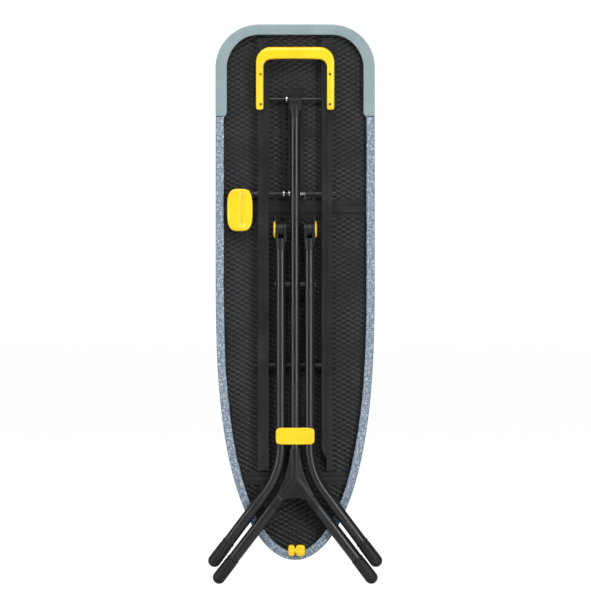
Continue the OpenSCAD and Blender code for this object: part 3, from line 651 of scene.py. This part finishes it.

# %% [markdown]
# ## The felt pad
# Under the cloth lies a sheet of needled felt, cut a little smaller than the cover. It shows only
# through the metal mesh, from below. It is a closed slab with a rounded edge.


# %% Felt pad
def pad_rows():
    """Rows from the underside's spine out to the edge and back over the top to the spine."""
    low, high = FACE_Y - pad_high[1], FACE_Y - pad_low[1]
    p, n, _, _ = board_outline(700)
    spine = np.stack([np.zeros(len(p)), np.clip(p[:, 1], NOSE + 0.17, TOP - 0.18)], axis=1)
    rim = [(0.0045, high), (0.002, high - 0.0012), (0.0015, (low + high) / 2), (0.002, low + 0.0012),
           (0.0045, low)]
    rows = []
    for t in np.linspace(1, 0, 24)[:-1]:
        xz = (p - n * rim[0][0]) * (1 - t) + spine * t
        rows.append(np.stack([xz[:, 0], np.full(len(p), deep(high)), xz[:, 1]], axis=1))
    rows += [rim_points(p, n, inset, depth) for inset, depth in rim]
    for t in np.linspace(0, 1, 24)[1:]:
        xz = (p - n * rim[-1][0]) * (1 - t) + spine * t
        rows.append(np.stack([xz[:, 0], np.full(len(p), deep(low)), xz[:, 1]], axis=1))
    return np.stack(rows), grid_quads(len(rows), len(p), ring_columns=True)


pad_mesh = to_mesh("pad_felt", *pad_rows())
outwards(pad_mesh, 1e-5)
pad = piece("pad_felt", pad_mesh, felt_dark_as_painted_shade, "board")
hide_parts("felt_pad")

# %% [markdown]
# ## Expanded metal
# The top is a sheet that was slit and pulled, which opens it into diamonds, lets steam through and
# costs no waste. A strand runs between two knots. It is flat strip that the pull has tipped on edge, so
# it is wider at the knots and twisted in between. Building it strand by strand from one formula gives
# true holes; a bitmap of holes would go flat in a side view.

# %% Strands between knots
LONG_WAY = 22.0 * MM
SHORT_WAY = 11.6 * MM
STRAND = 2.1 * MM
SHEET = 1.1 * MM


def knots():
    """Starts and ends of every strand: a checkerboard of knots joined along both diagonals."""
    nx, nz = int(HALF * 2 / LONG_WAY) + 2, int((TOP - NOSE) / SHORT_WAY) + 2
    i, j = np.meshgrid(np.arange(-nx, nx + 1), np.arange(0, 2 * nz), indexing="ij")
    even = (i + j) % 2 == 0
    start = np.stack([i[even] * LONG_WAY / 2, NOSE + j[even] * SHORT_WAY / 2], axis=1)
    ends = [start + np.array([LONG_WAY / 2, d * SHORT_WAY / 2]) for d in (1, -1)]
    return np.concatenate([start, start]), np.concatenate(ends)


def half_width(z):
    """Half the board's width at a height."""
    t = np.clip(z - NOSE, 0, TAPER)
    nose = HALF * np.sqrt(np.clip(1 - (1 - t / TAPER) ** TAPER_POWER, 0, 1))
    up = np.clip(z - (TOP - CORNER), 0, CORNER)
    return np.where(z > TOP - CORNER, HALF - CORNER + np.sqrt(CORNER**2 - up**2), nose)


def in_rim(p, margin):
    """Whether a point lies inside the rim: its height is in range and its side within the width."""
    z = p[:, 1]
    near_nose = np.clip((NOSE + 0.12 - z) / 0.12, 0, 1)
    side = np.abs(p[:, 0]) < half_width(np.clip(z, NOSE, TOP)) - margin * (1 + 0.5 * near_nose)
    return side & (z > NOSE + margin) & (z < TOP - margin)


def strands():
    """Each strand is a bar of four sides and five rings, tipped one way or the other by its diagonal."""
    a, b = knots()
    keep = in_rim(a, 0.0155) & in_rim(b, 0.0155)
    a, b = a[keep], b[keep]
    d = (b - a) / np.linalg.norm(b - a, axis=1)[:, None]
    side = np.stack([-d[:, 1], d[:, 0]], axis=1)
    t = np.linspace(0, 1, 5)
    wide = STRAND / 2 * (1 + 0.55 * (2 * t - 1) ** 4)
    tip = np.sin(np.pi * t) * 0.62
    lean = np.sign(d[:, 1])[:, None]
    corners = np.array([(-1, -1), (1, -1), (1, 1), (-1, 1)], float)
    u = corners[None, :, 0] * wide[:, None]
    v = np.tile(corners[None, :, 1] * SHEET / 2, (5, 1))
    u2 = u[None] * np.cos(tip)[None, :, None] - lean[..., None] * v[None] * np.sin(tip)[None, :, None]
    v2 = lean[..., None] * u[None] * np.sin(tip)[None, :, None] + v[None] * np.cos(tip)[None, :, None]
    centre = a[:, None] + (b - a)[:, None] * t[None, :, None]
    xz = centre[:, :, None] + side[:, None, None] * u2[..., None]
    y = deep(MESH_W - 0.0008) - v2
    points = np.stack([xz[..., 0], y, xz[..., 1]], axis=-1)
    one = grid_quads(5, 4, ring_columns=True)
    quads = (one[None] + (np.arange(len(a)) * 20)[:, None, None]).reshape(-1, 4)
    return points, quads


strand_points, strand_quads = strands()
sheet_mesh = to_mesh("expanded_mesh", strand_points, strand_quads)
sheet_mesh.polygons.foreach_set("use_smooth", np.zeros(len(sheet_mesh.polygons), dtype=bool))
expanded = piece("expanded_mesh", sheet_mesh, mesh_paint, "board")
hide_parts("mesh_panel")
print("strands:", len(strand_quads) // 16)

# %% [markdown]
# ## The grey-green end trim
# A moulded strip clips over the square end, where an iron or a hand would wear the cloth. Its section is
# a shallow J: a crowned flat underneath, a rounded edge, and a short side. It is one section carried
# round the end, and its two ends have their inner corners rounded off.


# %% Trim band
def trim_band():
    """A closed section of (inset, depth) carried round the square end, narrower at both tips."""
    p, n, s, _ = board_outline(2400)
    keep = p[:, 1] >= TRIM_Z + 0.0004
    p, n, s = p[keep], n[keep], s[keep]
    gap = np.minimum(s - s.min(), s.max() - s)
    corner = 0.007
    lost = corner - np.sqrt(np.clip(corner**2 - np.clip(corner - gap, 0, corner) ** 2, 0, None))
    top_share = smooth_step(n[:, 1], 0.5, 1.0)
    width = TRIM_WIDTH - 0.002 * top_share - lost
    low, wall, tip = TRIM_W, 0.0019, TRIM_WIDTH
    section = rounded(
        [(wall, 0.0080), (0, 0.0074), (0, low - 0.0008), (0.0024, low), (0.013, low + 0.0002),
         (tip - 0.0018, low - 0.0003), (tip, low - 0.0022), (tip, low - 0.0048),
         (tip - wall, low - 0.0048), (tip - 0.002, low - wall - 0.0002), (wall * 1.4, low - wall),
         (wall, low - wall * 2.5), (wall, 0.0080)], 0.0018, 4)
    rows = []
    for inset, depth in section:
        share = np.clip((inset - 0.006) / 0.020, 0, 1)
        rows.append(rim_points(p, n, inset - (TRIM_WIDTH - width) * share, depth))
    points = np.stack(rows)
    centre = points.mean(axis=0, keepdims=True)
    caps = [points[:, :1] * 0.5 + centre[:, :1] * 0.5, points[:, -1:] * 0.5 + centre[:, -1:] * 0.5]
    points = np.concatenate([np.broadcast_to(centre[:, :1], caps[0].shape), caps[0], points, caps[1],
                             np.broadcast_to(centre[:, -1:], caps[1].shape)], axis=1)
    return points, grid_quads(points.shape[0], points.shape[1], ring_rows=True)


trim_mesh = to_mesh("trim_band", *trim_band())
outwards(trim_mesh, 2e-6)
trim = piece("trim_band", trim_mesh, grey_trim, "board")
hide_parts("end_trim")

# %% [markdown]
# ## The carrying handle
# A yellow U that is screwed to both rails. It can be drawn as a band between an outer and an inner
# line, each with straights and round corners, with a superellipse for its section, which gives the
# flat front and the soft edges of a thick moulding. The top bar is fuller at its corners.

# %% Handle
handle_low, handle_high = np.array(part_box("carry_handle"))
HANDLE_ARM = 17 * MM
HANDLE_GRIP = 29 * MM
OUTER_R = 34 * MM
INNER_R = 17 * MM


def u_line(x, z_low, z_top, r, arm, corner, bar):
    """A U from the foot of the -X arm round to the foot of the +X arm, as (x, z) points."""
    up = np.stack([np.full(arm, -x), np.linspace(z_low, z_top - r, arm, endpoint=False)], axis=1)
    a = np.linspace(np.pi, np.pi / 2, corner, endpoint=False)
    turn = np.stack([-x + r + r * np.cos(a), z_top - r + r * np.sin(a)], axis=1)
    top = np.stack([np.linspace(-x + r, 0, bar), np.full(bar, z_top)], axis=1)
    half = np.concatenate([up, turn, top])
    return np.concatenate([half, half[-2::-1] * [-1, 1]])


def handle_surface():
    """Section points between the outer and inner line, closed at both feet with rounded ends."""
    x, low, top = handle_high[0], handle_low[2], handle_high[2]
    outer = u_line(x, low, top, OUTER_R, 60, 26, 40)
    inner = u_line(x - HANDLE_ARM, low, top - HANDLE_GRIP, INNER_R, 60, 26, 40)
    arch = 0.0022 * (1 - (inner[:, 0] / (x - HANDLE_ARM)) ** 2)
    inner[:, 1] += arch * (np.abs(inner[:, 0]) < x - HANDLE_ARM - 1e-4)
    mid, half = (outer + inner) / 2, (outer - inner) / 2
    a = np.linspace(0, 2 * np.pi, 40, endpoint=False)
    c, s = power_wave(a, 2.9)
    y_mid = (handle_low[1] + handle_high[1]) / 2
    y_half = (handle_high[1] - handle_low[1]) / 2
    foot = np.minimum(outer[:, 1] - low, 0.006) / 0.006
    shrink = np.maximum(np.sqrt(np.clip(1 - (1 - foot) ** 2, 0, 1)), 0.02)
    shrink = 0.55 + 0.45 * shrink
    xz = mid[:, None] + half[:, None] * (c[None, :, None] * shrink[:, None, None])
    y = y_mid + y_half * s[None] * shrink[:, None]
    points = np.stack([xz[..., 0], y, xz[..., 1]], axis=-1)
    ends = [np.repeat(points[k].mean(axis=0, keepdims=True), 40, axis=0)[None] for k in (0, -1)]
    points = np.concatenate([ends[0], points, ends[1]])
    return points, grid_quads(len(points), 40, ring_columns=True)


def bored(obj, holes, radius, depth, y_front):
    """Cuts round wells into a piece's front with a Boolean, and applies it."""
    parts = []
    for x, z in holes:
        profile = [(0, 0), (0, radius), (depth + 0.004, radius * 1.12), (depth + 0.004, 0)]
        parts.append(lathe(profile, (x, y_front + depth, z), (0, -1, 0), 24))
    tool_mesh = to_mesh("well_tool", *joined(parts))
    outwards(tool_mesh)
    tool = bpy.data.objects.new("well_tool", tool_mesh)
    bpy.context.scene.collection.objects.link(tool)
    cutter = obj.modifiers.new("wells", "BOOLEAN")
    cutter.object, cutter.operation, cutter.solver = tool, "DIFFERENCE", "EXACT"
    bpy.context.view_layer.update()
    bake(obj)
    bpy.data.objects.remove(tool)
    bpy.data.meshes.remove(tool_mesh)


screws = np.array(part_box("handle_screws"))
SCREW_HEAD = 5.0 * MM
SCREW_X = screws[1][0] - SCREW_HEAD
SCREW_Z = [screws[0][2] + SCREW_HEAD, screws[1][2] - SCREW_HEAD]
screw_places = [(x, z) for x in (-SCREW_X, SCREW_X) for z in SCREW_Z]
handle_mesh = to_mesh("handle_grip", *handle_surface())
outwards(handle_mesh, 1e-6)
handle = piece("handle_grip", handle_mesh, yellow, "board")
bored(handle, screw_places, 0.0030, 0.0040, handle_low[1])
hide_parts("carry_handle")


# %% [markdown]
# ## Screw heads
# A pan head is a flattened dome with a driver recess. The recess is a small dark cup, and the head
# sits at the bottom of its well in the handle.


# %% Pan heads in the wells
def pan_heads():
    """A dome with a stepped cup in the middle, turned once per screw."""
    profile = rounded([(-0.0006, 0.0), (-0.0006, 0.0011), (0.0007, 0.0013), (0.0010, 0.0020),
                       (0.0002, 0.0027), (-0.0026, 0.0027), (-0.0026, 0.0)], 0.0004, 3)
    base = handle_low[1] + 0.0036
    return joined([lathe(profile, (x, base, z), (0, -1, 0), 24) for x, z in screw_places])


heads_mesh = to_mesh("screw_heads", *pan_heads())
outwards(heads_mesh)
heads = piece("screw_heads", heads_mesh, powder_coat, "board")
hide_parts("handle_screws")


# %% [markdown]
# ## Pillow shapes
# The paddle, the leg clip and the toggle are all rounded slabs. A pillow is a disc of rings: the plan
# of each ring is a superellipse, and its height follows a steep power of the radius, so it is flat in
# the middle and rolls over at the edge. The front and the back share the outer ring.


# %% Pillow maker
def pillow(centre, half, squareness, front, back, roll, rings=26, count=128, shape=None):
    """A closed slab on a superellipse plan between two depths; shape bends the front's depth."""
    r = np.sin(np.linspace(0, np.pi / 2, rings))
    a = np.linspace(0, 2 * np.pi, count, endpoint=False)
    c, s = power_wave(a, squareness)
    middle = (front + back) / 2
    height = (1 - r**roll) ** (1 / 2.4)
    plan = np.stack([np.outer(r, c) * half[0] + centre[0], np.outer(r, s) * half[1] + centre[1]], axis=-1)
    near = middle + (front - middle) * height[:, None] * np.ones_like(plan[..., 0])
    far = middle + (back - middle) * height[:, None] * np.ones_like(plan[..., 0])
    if shape is not None:
        near = near + shape(plan[..., 0], plan[..., 1]) * height[:, None]
    depth = np.concatenate([near, far[::-1][1:]])
    plan = np.concatenate([plan, plan[::-1][1:]])
    points = np.stack([plan[..., 0], deep(depth), plan[..., 1]], axis=-1)
    return points, grid_quads(len(points), count, ring_columns=True)


def depths(name):
    """A node's shallowest and deepest depth below the ironing face."""
    low, high = np.array(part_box(name))
    return FACE_Y - high[1], FACE_Y - low[1]


# %% [markdown]
# ## The height lever's paddle
# Fingers reach under the board and squeeze this paddle to let the legs slide. Its front has a crease:
# on the outer side it is proud and level, and inside the crease it falls away as a finger scoop.

# %% Paddle
paddle_low, paddle_high = np.array(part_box("lever_paddle"))
paddle_front = FACE_Y - paddle_low[1]
rod_low, rod_high = np.array(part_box("lever_rod"))
ROD_W = FACE_Y - (rod_low[1] + rod_high[1]) / 2
ROD_Z = (rod_low[2] + rod_high[2]) / 2


def scoop(x, z):
    """Depth change over the paddle: a crease, then a dish that rises to the right."""
    crease = paddle_low[0] + 0.52 * (paddle_high[0] - paddle_low[0])
    u = (x - crease) / (paddle_high[0] - crease)
    v = (z - (paddle_low[2] + paddle_high[2]) / 2) / ((paddle_high[2] - paddle_low[2]) / 2)
    window = smooth_step(1 - np.abs(v), 0.02, 0.45)
    rising = 1 - 0.8 * smooth_step(u, 0.2, 1.0)
    dish = smooth_step(u, -0.06, 0.24) * rising * window * 0.0055
    return -dish + 0.0006 * (1 - v**2) * smooth_step(-u, 0.0, 0.6)


paddle_parts = [
    pillow(((paddle_low[0] + paddle_high[0]) / 2, (paddle_low[2] + paddle_high[2]) / 2),
           ((paddle_high[0] - paddle_low[0]) / 2, (paddle_high[2] - paddle_low[2]) / 2),
           3.4, paddle_front, paddle_front - 0.011, 9, rings=44, count=160, shape=scoop),
    lathe(rounded([(0, 0.0), (0, 0.0070), (0.020, 0.0070), (0.020, 0.0)], 0.0012),
          (paddle_high[0] - 0.026, deep(ROD_W), ROD_Z), (1, 0, 0), 40),
]
paddle_mesh = to_mesh("release_paddle", *joined(paddle_parts))
outwards(paddle_mesh, 1e-6)
paddle = piece("release_paddle", paddle_mesh, yellow, "lever")
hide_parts("lever_paddle")


# %% [markdown]
# ## The return spring
# A torsion spring on the lever's rod turns the paddle back. It is real wire: a circle carried along a
# helix, with its two ends bent out as legs, one against the rod and one against the board.


# %% Coil
def tube_along(line, radius, sides=8):
    """A tube round a line of points, on frames turned as little as possible, with closed ends."""
    t = np.gradient(line, axis=0)
    t /= np.linalg.norm(t, axis=1)[:, None]
    fixed = np.array([0.31, 0.87, 0.39])
    n = np.cross(t, fixed)
    n /= np.linalg.norm(n, axis=1)[:, None]
    b = np.cross(t, n)
    a = np.linspace(0, 2 * np.pi, sides, endpoint=False)
    ring = np.cos(a)[None, :, None] * n[:, None] + np.sin(a)[None, :, None] * b[:, None]
    points = line[:, None] + ring * radius
    ends = [np.repeat(line[k][None, None], sides, axis=1) for k in (0, -1)]
    return np.concatenate([ends[0], points, ends[1]]), grid_quads(len(line) + 2, sides, ring_columns=True)


spring_low, spring_high = np.array(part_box("lever_spring"))
WIRE = 1.3 * MM
TURNS = 7


def coil_line():
    """A helix round the rod from one end of the spring's room to the other, with a leg at each end."""
    coil_r = (spring_high[2] - spring_low[2]) / 2 - WIRE / 2
    t = np.linspace(0, 1, TURNS * 28)
    a = 2 * np.pi * TURNS * t + np.pi
    x = spring_low[0] + WIRE / 2 + t * (spring_high[0] - spring_low[0] - WIRE)
    wound = np.stack([x, deep(ROD_W) + coil_r * np.cos(a), ROD_Z + coil_r * np.sin(a)], axis=1)
    out = np.linspace(0, 1, 8)[1:, None]
    first = wound[0] + out[::-1] * np.array([-0.0015, 0.0, 0.013])
    last = wound[-1] + out * np.array([0.0015, 0.0, -0.012])
    return np.concatenate([first, wound, last])


spring_mesh = to_mesh("return_spring", *tube_along(coil_line(), WIRE / 2))
outwards(spring_mesh)
spring = piece("return_spring", spring_mesh, zinc, "lever")
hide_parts("lever_spring")

# %% [markdown]
# ## The leg clip
# A plate over the three tubes with two fingers between them. The legs snap into it when the board is
# folded. The plate is a square pillow, slightly proud in the middle, and each finger a slim one.

# %% Clip
clip_low, clip_high = np.array(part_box("leg_clip"))
clip_w0, clip_w1 = depths("leg_clip")
CLIP_PLATE = 3 * MM
clip_mid = (clip_low[2] + clip_high[2]) / 2
finger_x = 16.6 * MM


def superbox(centre, half, squareness=5.0, rows=14, count=28):
    """A rounded box: a superellipse in plan, with superellipse sides."""
    v = np.linspace(-np.pi / 2, np.pi / 2, rows)
    a = np.linspace(0, 2 * np.pi, count, endpoint=False)
    ring, rise = power_wave(v, squareness)
    c, s = power_wave(a, squareness)
    x = centre[0] + half[0] * np.outer(ring, c)
    z = centre[2] + half[2] * np.outer(ring, s)
    y = centre[1] + half[1] * np.outer(rise, np.ones(count))
    return np.stack([x, y, z], axis=-1), grid_quads(rows, count, ring_columns=True)


def clip_bow(x, z):
    """The plate's front is lowest along its middle and a little proud over each twin tube."""
    return -0.0005 * np.cos(x / clip_high[0] * np.pi * 2) * np.ones_like(z)


clip_parts = [pillow((0, clip_mid), (clip_high[0], (clip_high[2] - clip_low[2]) / 2), 6.5,
                     clip_w1 - 0.0003, clip_w1 - CLIP_PLATE, 14, rings=40, count=200, shape=clip_bow)]
finger_mid = deep((clip_w0 + clip_w1 - CLIP_PLATE) / 2)
finger_half = (0.0041, (clip_w1 - CLIP_PLATE - clip_w0) / 2 + 0.0008,
               (clip_high[2] - clip_low[2]) / 2 - 0.003)
for side in (-1, 1):
    clip_parts.append(superbox((side * finger_x, finger_mid, clip_mid), finger_half))
clip_mesh = to_mesh("snap_clip", *joined(clip_parts))
outwards(clip_mesh, 1e-6)
clip = piece("snap_clip", clip_mesh, yellow, "twin_leg")
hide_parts("leg_clip", "clip_screws")

# %% [markdown]
# ## The drawstring toggle
# A two-lobed cord lock at the nose. The right lobe is the body and carries a neck; the left lobe is a
# button that slides on it. The lobes have big outer corners, which leaves the notch between them.

# %% Toggle
lock_low, lock_high = np.array(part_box("cord_toggle"))
button_low, button_high = np.array(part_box("toggle_button"))
lock_w0, lock_w1 = depths("cord_toggle")
LOBE_X = button_high[0] + 4.1 * MM


def lobe(x0, x1, z0, z1):
    """A plump pillow between two sides."""
    return pillow(((x0 + x1) / 2, (z0 + z1) / 2), ((x1 - x0) / 2, (z1 - z0) / 2), 3.5,
                  lock_w1, lock_w0, 4.4, rings=22, count=72)


neck = lathe([(0, 0), (0, 0.0054), (0.0148, 0.0054), (0.0148, 0)],
             (LOBE_X - 0.0098, deep((lock_w0 + lock_w1) / 2), (lock_low[2] + lock_high[2]) / 2),
             (1, 0, 0), 32)
neck_web = superbox(((LOBE_X + button_high[0]) / 2 + 0.004, deep((lock_w0 + lock_w1) / 2),
                     (lock_low[2] + lock_high[2]) / 2), (0.0045, 0.0050, 0.0085))
lock_mesh = to_mesh("cord_lock", *joined([lobe(LOBE_X - 0.0022, lock_high[0], lock_low[2], lock_high[2]),
                                          neck, neck_web]))
outwards(lock_mesh, 1e-6)
lock = piece("cord_lock", lock_mesh, yellow, "board")
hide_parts("cord_toggle")
button_mesh = to_mesh("lock_button", *lobe(button_low[0], button_high[0], button_low[2], button_high[2]))
outwards(button_mesh, 1e-6)
button = piece("lock_button", button_mesh, yellow, "button")
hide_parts("toggle_button")

# %% [markdown]
# ## Hub discs
# The knee joints are capped on their outer sides with yellow discs. Each is a shallow dome that is
# turned, with a ring and a small dimple in the middle.


# %% Discs
def hub_covers():
    """One profile turned about X on each side of the legs."""
    low, high = np.array(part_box("hub_discs"))
    r = (high[2] - low[2]) / 2
    z, y = (low[2] + high[2]) / 2, (low[1] + high[1]) / 2
    t = 4.5 * MM
    profile = rounded([(0, 0), (0, r), (0.0011, r), (0.0030, r * 0.90), (t, r * 0.72), (t, r * 0.62),
                       (t - 0.0008, r * 0.56), (t - 0.0008, r * 0.30), (t, r * 0.24), (t, 0)], 0.0012, 4)
    return joined([lathe(profile, (side * (high[0] - t), y, z), (side, 0, 0), 72) for side in (-1, 1)])


disc_mesh = to_mesh("hub_covers", *hub_covers())
outwards(disc_mesh, 1e-6)
discs = piece("hub_covers", disc_mesh, yellow, "twin_leg")
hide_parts("hub_discs")

# %% [markdown]
# ## Foot caps
# Four caps are pushed on the splayed tubes. A cap is turned: a thin lip at the mouth with one
# groove behind it, a long barrel, and a ball end to stand on. Its ball's centre comes from the
# node's box, and the tube's slant is given as an angle.

# %% Caps
CAP_LENGTH = 55 * MM
CAP_WALL = 1.5 * MM


def foot_cap(name, node_name, splay, body):
    """A cap turned about its own tube, with the ball at the low outer corner of the node's box."""
    low, high = np.array(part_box(node_name))
    side = 1 if high[0] + low[0] > 0 else -1
    r = (high[1] - low[1]) / 2
    ball = np.array([side * (max(abs(low[0]), abs(high[0])) - r), (low[1] + high[1]) / 2, low[2] + r])
    direction = np.array([side * np.sin(np.radians(splay)), 0, -np.cos(np.radians(splay))])
    a = np.linspace(0, np.pi / 2, 16)
    dome = np.stack([r * np.sin(a), r * np.cos(a)], axis=1)
    inner = r - CAP_WALL - 0.0001
    mouth = -CAP_LENGTH
    barrel = rounded([(mouth + 0.004, inner - 0.0001), (mouth, inner), (mouth, r - 0.0009),
                      (mouth + 0.0030, r - 0.0002), (mouth + 0.0062, r - 0.0002),
                      (mouth + 0.0070, r - 0.0012), (mouth + 0.0088, r - 0.0012),
                      (mouth + 0.0096, r - 0.0004), (-0.012, r), (0, r)], 0.0006, 3)
    points, quads = lathe(np.concatenate([barrel[:-1], dome]), ball, direction, 64)
    mesh = to_mesh(name, points, quads)
    outwards(mesh, 1e-6)
    made = piece(name, mesh, rubber, body)
    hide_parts(node_name)
    return made


TWIN_SPLAY, CENTRE_SPLAY = 37.0, 37.55
foot_cap("twin_cap_left", "twin_foot_left", TWIN_SPLAY, "twin_leg")
foot_cap("twin_cap_right", "twin_foot_right", TWIN_SPLAY, "twin_leg")
foot_cap("centre_cap_left", "centre_foot_left", CENTRE_SPLAY, "centre_leg")
foot_cap("centre_cap_right", "centre_foot_right", CENTRE_SPLAY, "centre_leg")

# %% [markdown]
# ## Twin tubes
# Each twin tube is one length: straight beside the centre leg, round a long bend, and out to its foot.
# Past the bend it swells a little, where the tube was drawn out to take its cap. The line is the CAD
# tube's own, worked out from the ball of its foot.

# %% Twin tubes
BEND_R = 180 * MM
TUBE_R = 11 * MM
SWELL = 34 * MM
BEND_STEPS = 60
TUBE_RINGS = 240
ARM_SHARE = 0.97  # how much of the arm is drawn, as its end is hidden in the cap


def twin_line(side):
    """Points down a tube at even steps, and its radius at each, growing smoothly along the arm."""
    low, high = np.array(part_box("twin_tube_right"))
    foot_low, foot_high = np.array(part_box("twin_foot_right"))
    foot_r = (foot_high[1] - foot_low[1]) / 2
    ball = np.array([foot_high[0] - foot_r, foot_low[2] + foot_r])
    x, turn = low[0] + TUBE_R, np.radians(TWIN_SPLAY)
    start = ball[1] + (ball[0] - x) / np.tan(turn) + BEND_R * np.tan(turn / 2)
    a = np.linspace(0, turn, BEND_STEPS)
    bend = np.stack([x + BEND_R * (1 - np.cos(a)), start - BEND_R * np.sin(a)], axis=1)
    arm = bend[-1] + np.linspace(0, 1, BEND_STEPS)[1:, None] * (ball - bend[-1]) * ARM_SHARE
    line = np.concatenate([[[x, high[2]]], bend, arm])
    run = np.concatenate([[0], np.cumsum(np.linalg.norm(np.diff(line, axis=0), axis=1))])
    s = np.linspace(0, run[-1], TUBE_RINGS)
    xz = np.stack([np.interp(s, run, line[:, k]) for k in (0, 1)], axis=1)
    arm_from = run[BEND_STEPS]
    swell = smooth_step(s, arm_from - 0.7 * SWELL, arm_from + SWELL)
    radius = TUBE_R + (foot_r - CAP_WALL - TUBE_R) * swell
    points = np.stack([side * xz[:, 0], np.full(len(s), (low[1] + high[1]) / 2), xz[:, 1]], axis=1)
    return points, radius[:, None, None]


for side_name, side in (("left", -1), ("right", 1)):
    tube_mesh = to_mesh(f"twin_leg_tube_{side_name}", *tube_along(*twin_line(side), sides=48))
    outwards(tube_mesh)
    tube = piece(f"twin_leg_tube_{side_name}", tube_mesh, powder_coat, "twin_leg")
    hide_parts(f"twin_tube_{side_name}")

# %% [markdown]
# ## Mouldings with fillets
# The Y where the centre leg forks, the knuckles and the head bracket are glass-filled nylon. A mould
# can't have sharp inner corners, so wherever two shapes meet there is a fillet. A formula for that
# blend would be long. Remeshing a copy of the CAD solid into small cubes and then smoothing it
# rounds every corner, inner and outer, by the same small radius, so that is the way used here.


# %% Soft copies of solid nodes
def soften(name, node_name, body, material, voxel, rounds):
    """A remeshed, smoothed copy of a CAD node that stands for it."""
    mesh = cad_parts[node_name].data.copy()
    mesh.name = name
    outwards(mesh, 1e-5)
    mesh.materials.clear()
    made = piece(name, mesh, material, body)
    remesh = made.modifiers.new("cubes", "REMESH")
    remesh.mode, remesh.voxel_size, remesh.use_smooth_shade = "VOXEL", voxel, True
    relax = made.modifiers.new("relax", "SMOOTH")
    relax.factor, relax.iterations = 0.5, rounds
    bpy.context.view_layer.update()
    bake(made)
    made.data.materials.clear()
    made.data.materials.append(material)
    made.data.polygons.foreach_set("use_smooth", np.ones(len(made.data.polygons), dtype=bool))
    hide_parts(node_name)
    print(f"    softened to {len(made.data.polygons)} faces")
    return made


soften("leg_fork", "y_junction", "centre_leg", nylon, 0.0012, 30)
soften("head_yoke", "head_bracket", "centre_leg", nylon, 0.0008, 6)
for side in ("left", "right"):
    soften(f"knee_{side}", f"knuckle_{side}", "twin_leg", nylon, 0.0007, 5)
    soften(f"tongue_{side}", f"strut_tongue_{side}", "strut", nylon, 0.0007, 4)

# %% [markdown]
# ## Floor, light and camera
# A pale floor and an even white surround, as in a shop's studio. The big soft light stands to
# the right of the camera, so a black tube gets one broad streak right of its middle, and a narrow
# strip on the left draws the thin line along its other edge. The floor is partly self-lit, so that
# what the camera sees of it is white with only a breath of shadow.

# %% Floor
floor_mesh = bpy.data.meshes.new("studio_floor")
REACH = 30.0
floor_mesh.from_pydata([(-REACH, -REACH, 0), (REACH, -REACH, 0), (REACH, REACH, 0), (-REACH, REACH, 0)],
                       [], [(0, 1, 2, 3)])
floor = bpy.data.objects.new("studio_floor", floor_mesh)
bpy.context.scene.collection.objects.link(floor)
floor_paint = bpy.data.materials.new("studio_white")
floor_paint.use_nodes = True
ft = floor_paint.node_tree
glow = node(ft, "ShaderNodeEmission", in_0=(1, 1, 1, 1), in_1=0.97)
matt = node(ft, "ShaderNodeBsdfDiffuse", in_0=(0.13, 0.13, 0.13, 1))
both_ways = node(ft, "ShaderNodeAddShader")
only_matt = node(ft, "ShaderNodeBsdfDiffuse", in_0=(0.8, 0.8, 0.8, 1))
ray = node(ft, "ShaderNodeLightPath")
pick = node(ft, "ShaderNodeMixShader")
chain(ft, (glow.outputs[0], both_ways.inputs[0]), (matt.outputs[0], both_ways.inputs[1]),
      (ray.outputs["Is Camera Ray"], pick.inputs[0]), (only_matt.outputs[0], pick.inputs[1]),
      (both_ways.outputs[0], pick.inputs[2]),
      (pick.outputs[0], ft.nodes["Material Output"].inputs["Surface"]))
floor_mesh.materials.append(floor_paint)


# %% World
world = bpy.data.worlds.new("studio_air")
bpy.context.scene.world = world
world.use_nodes = True
wt = world.node_tree
seen = node(wt, "ShaderNodeBackground", in_0=(1, 1, 1, 1), in_1=1.1)
lit = node(wt, "ShaderNodeBackground", in_0=(1, 1, 1, 1), in_1=0.16)
sky_ray = node(wt, "ShaderNodeLightPath")
sky_pick = node(wt, "ShaderNodeMixShader")
chain(wt, (sky_ray.outputs["Is Camera Ray"], sky_pick.inputs[0]), (lit.outputs[0], sky_pick.inputs[1]),
      (seen.outputs[0], sky_pick.inputs[2]),
      (sky_pick.outputs[0], wt.nodes["World Output"].inputs["Surface"]))


# %% Lights
def soft_light(name, place, target, size, power, colour=(1, 1, 1)):
    """A rectangular light at a place, turned to a target."""
    data = bpy.data.lights.new(name, "AREA")
    data.shape, data.size, data.size_y, data.energy, data.color = "RECTANGLE", *size, power, colour
    light = bpy.data.objects.new(name, data)
    light.location = place
    light.rotation_euler = (Vector(target) - Vector(place)).to_track_quat("-Z", "Y").to_euler()
    bpy.context.scene.collection.objects.link(light)


middle = (0.0, 0.0, TOP / 2)
soft_light("broad_right", (1.95, -2.8, 1.15), middle, (0.9, 2.6), 70)
soft_light("strip_left", (-3.0, -1.5, 0.9), middle, (0.5, 2.4), 48)
soft_light("high_front", (-0.5, -2.6, 3.4), middle, (2.4, 1.2), 84)
soft_light("behind_top", (0.6, 2.6, 2.8), middle, (2.4, 1.4), 60)

# %% Camera
camera_data = bpy.data.cameras.new("shop_camera")
LENS = 158.7
FRAME_HEIGHT = 1.361
FAR = FRAME_HEIGHT * LENS / 36.0
camera_data.lens, camera_data.sensor_width = LENS, 36.0
camera_data.clip_end = 100.0
camera = bpy.data.objects.new("shop_camera", camera_data)
legs_y = deep(0.045)
camera.location = (0.0007, legs_y - FAR, 0.6435)
camera.rotation_euler = (np.pi / 2, 0.0, 0.0)
bpy.context.scene.collection.objects.link(camera)
bpy.context.scene.camera = camera
bpy.context.scene.view_settings.view_transform = "Standard"
print(f"camera {FAR:.2f} m away")
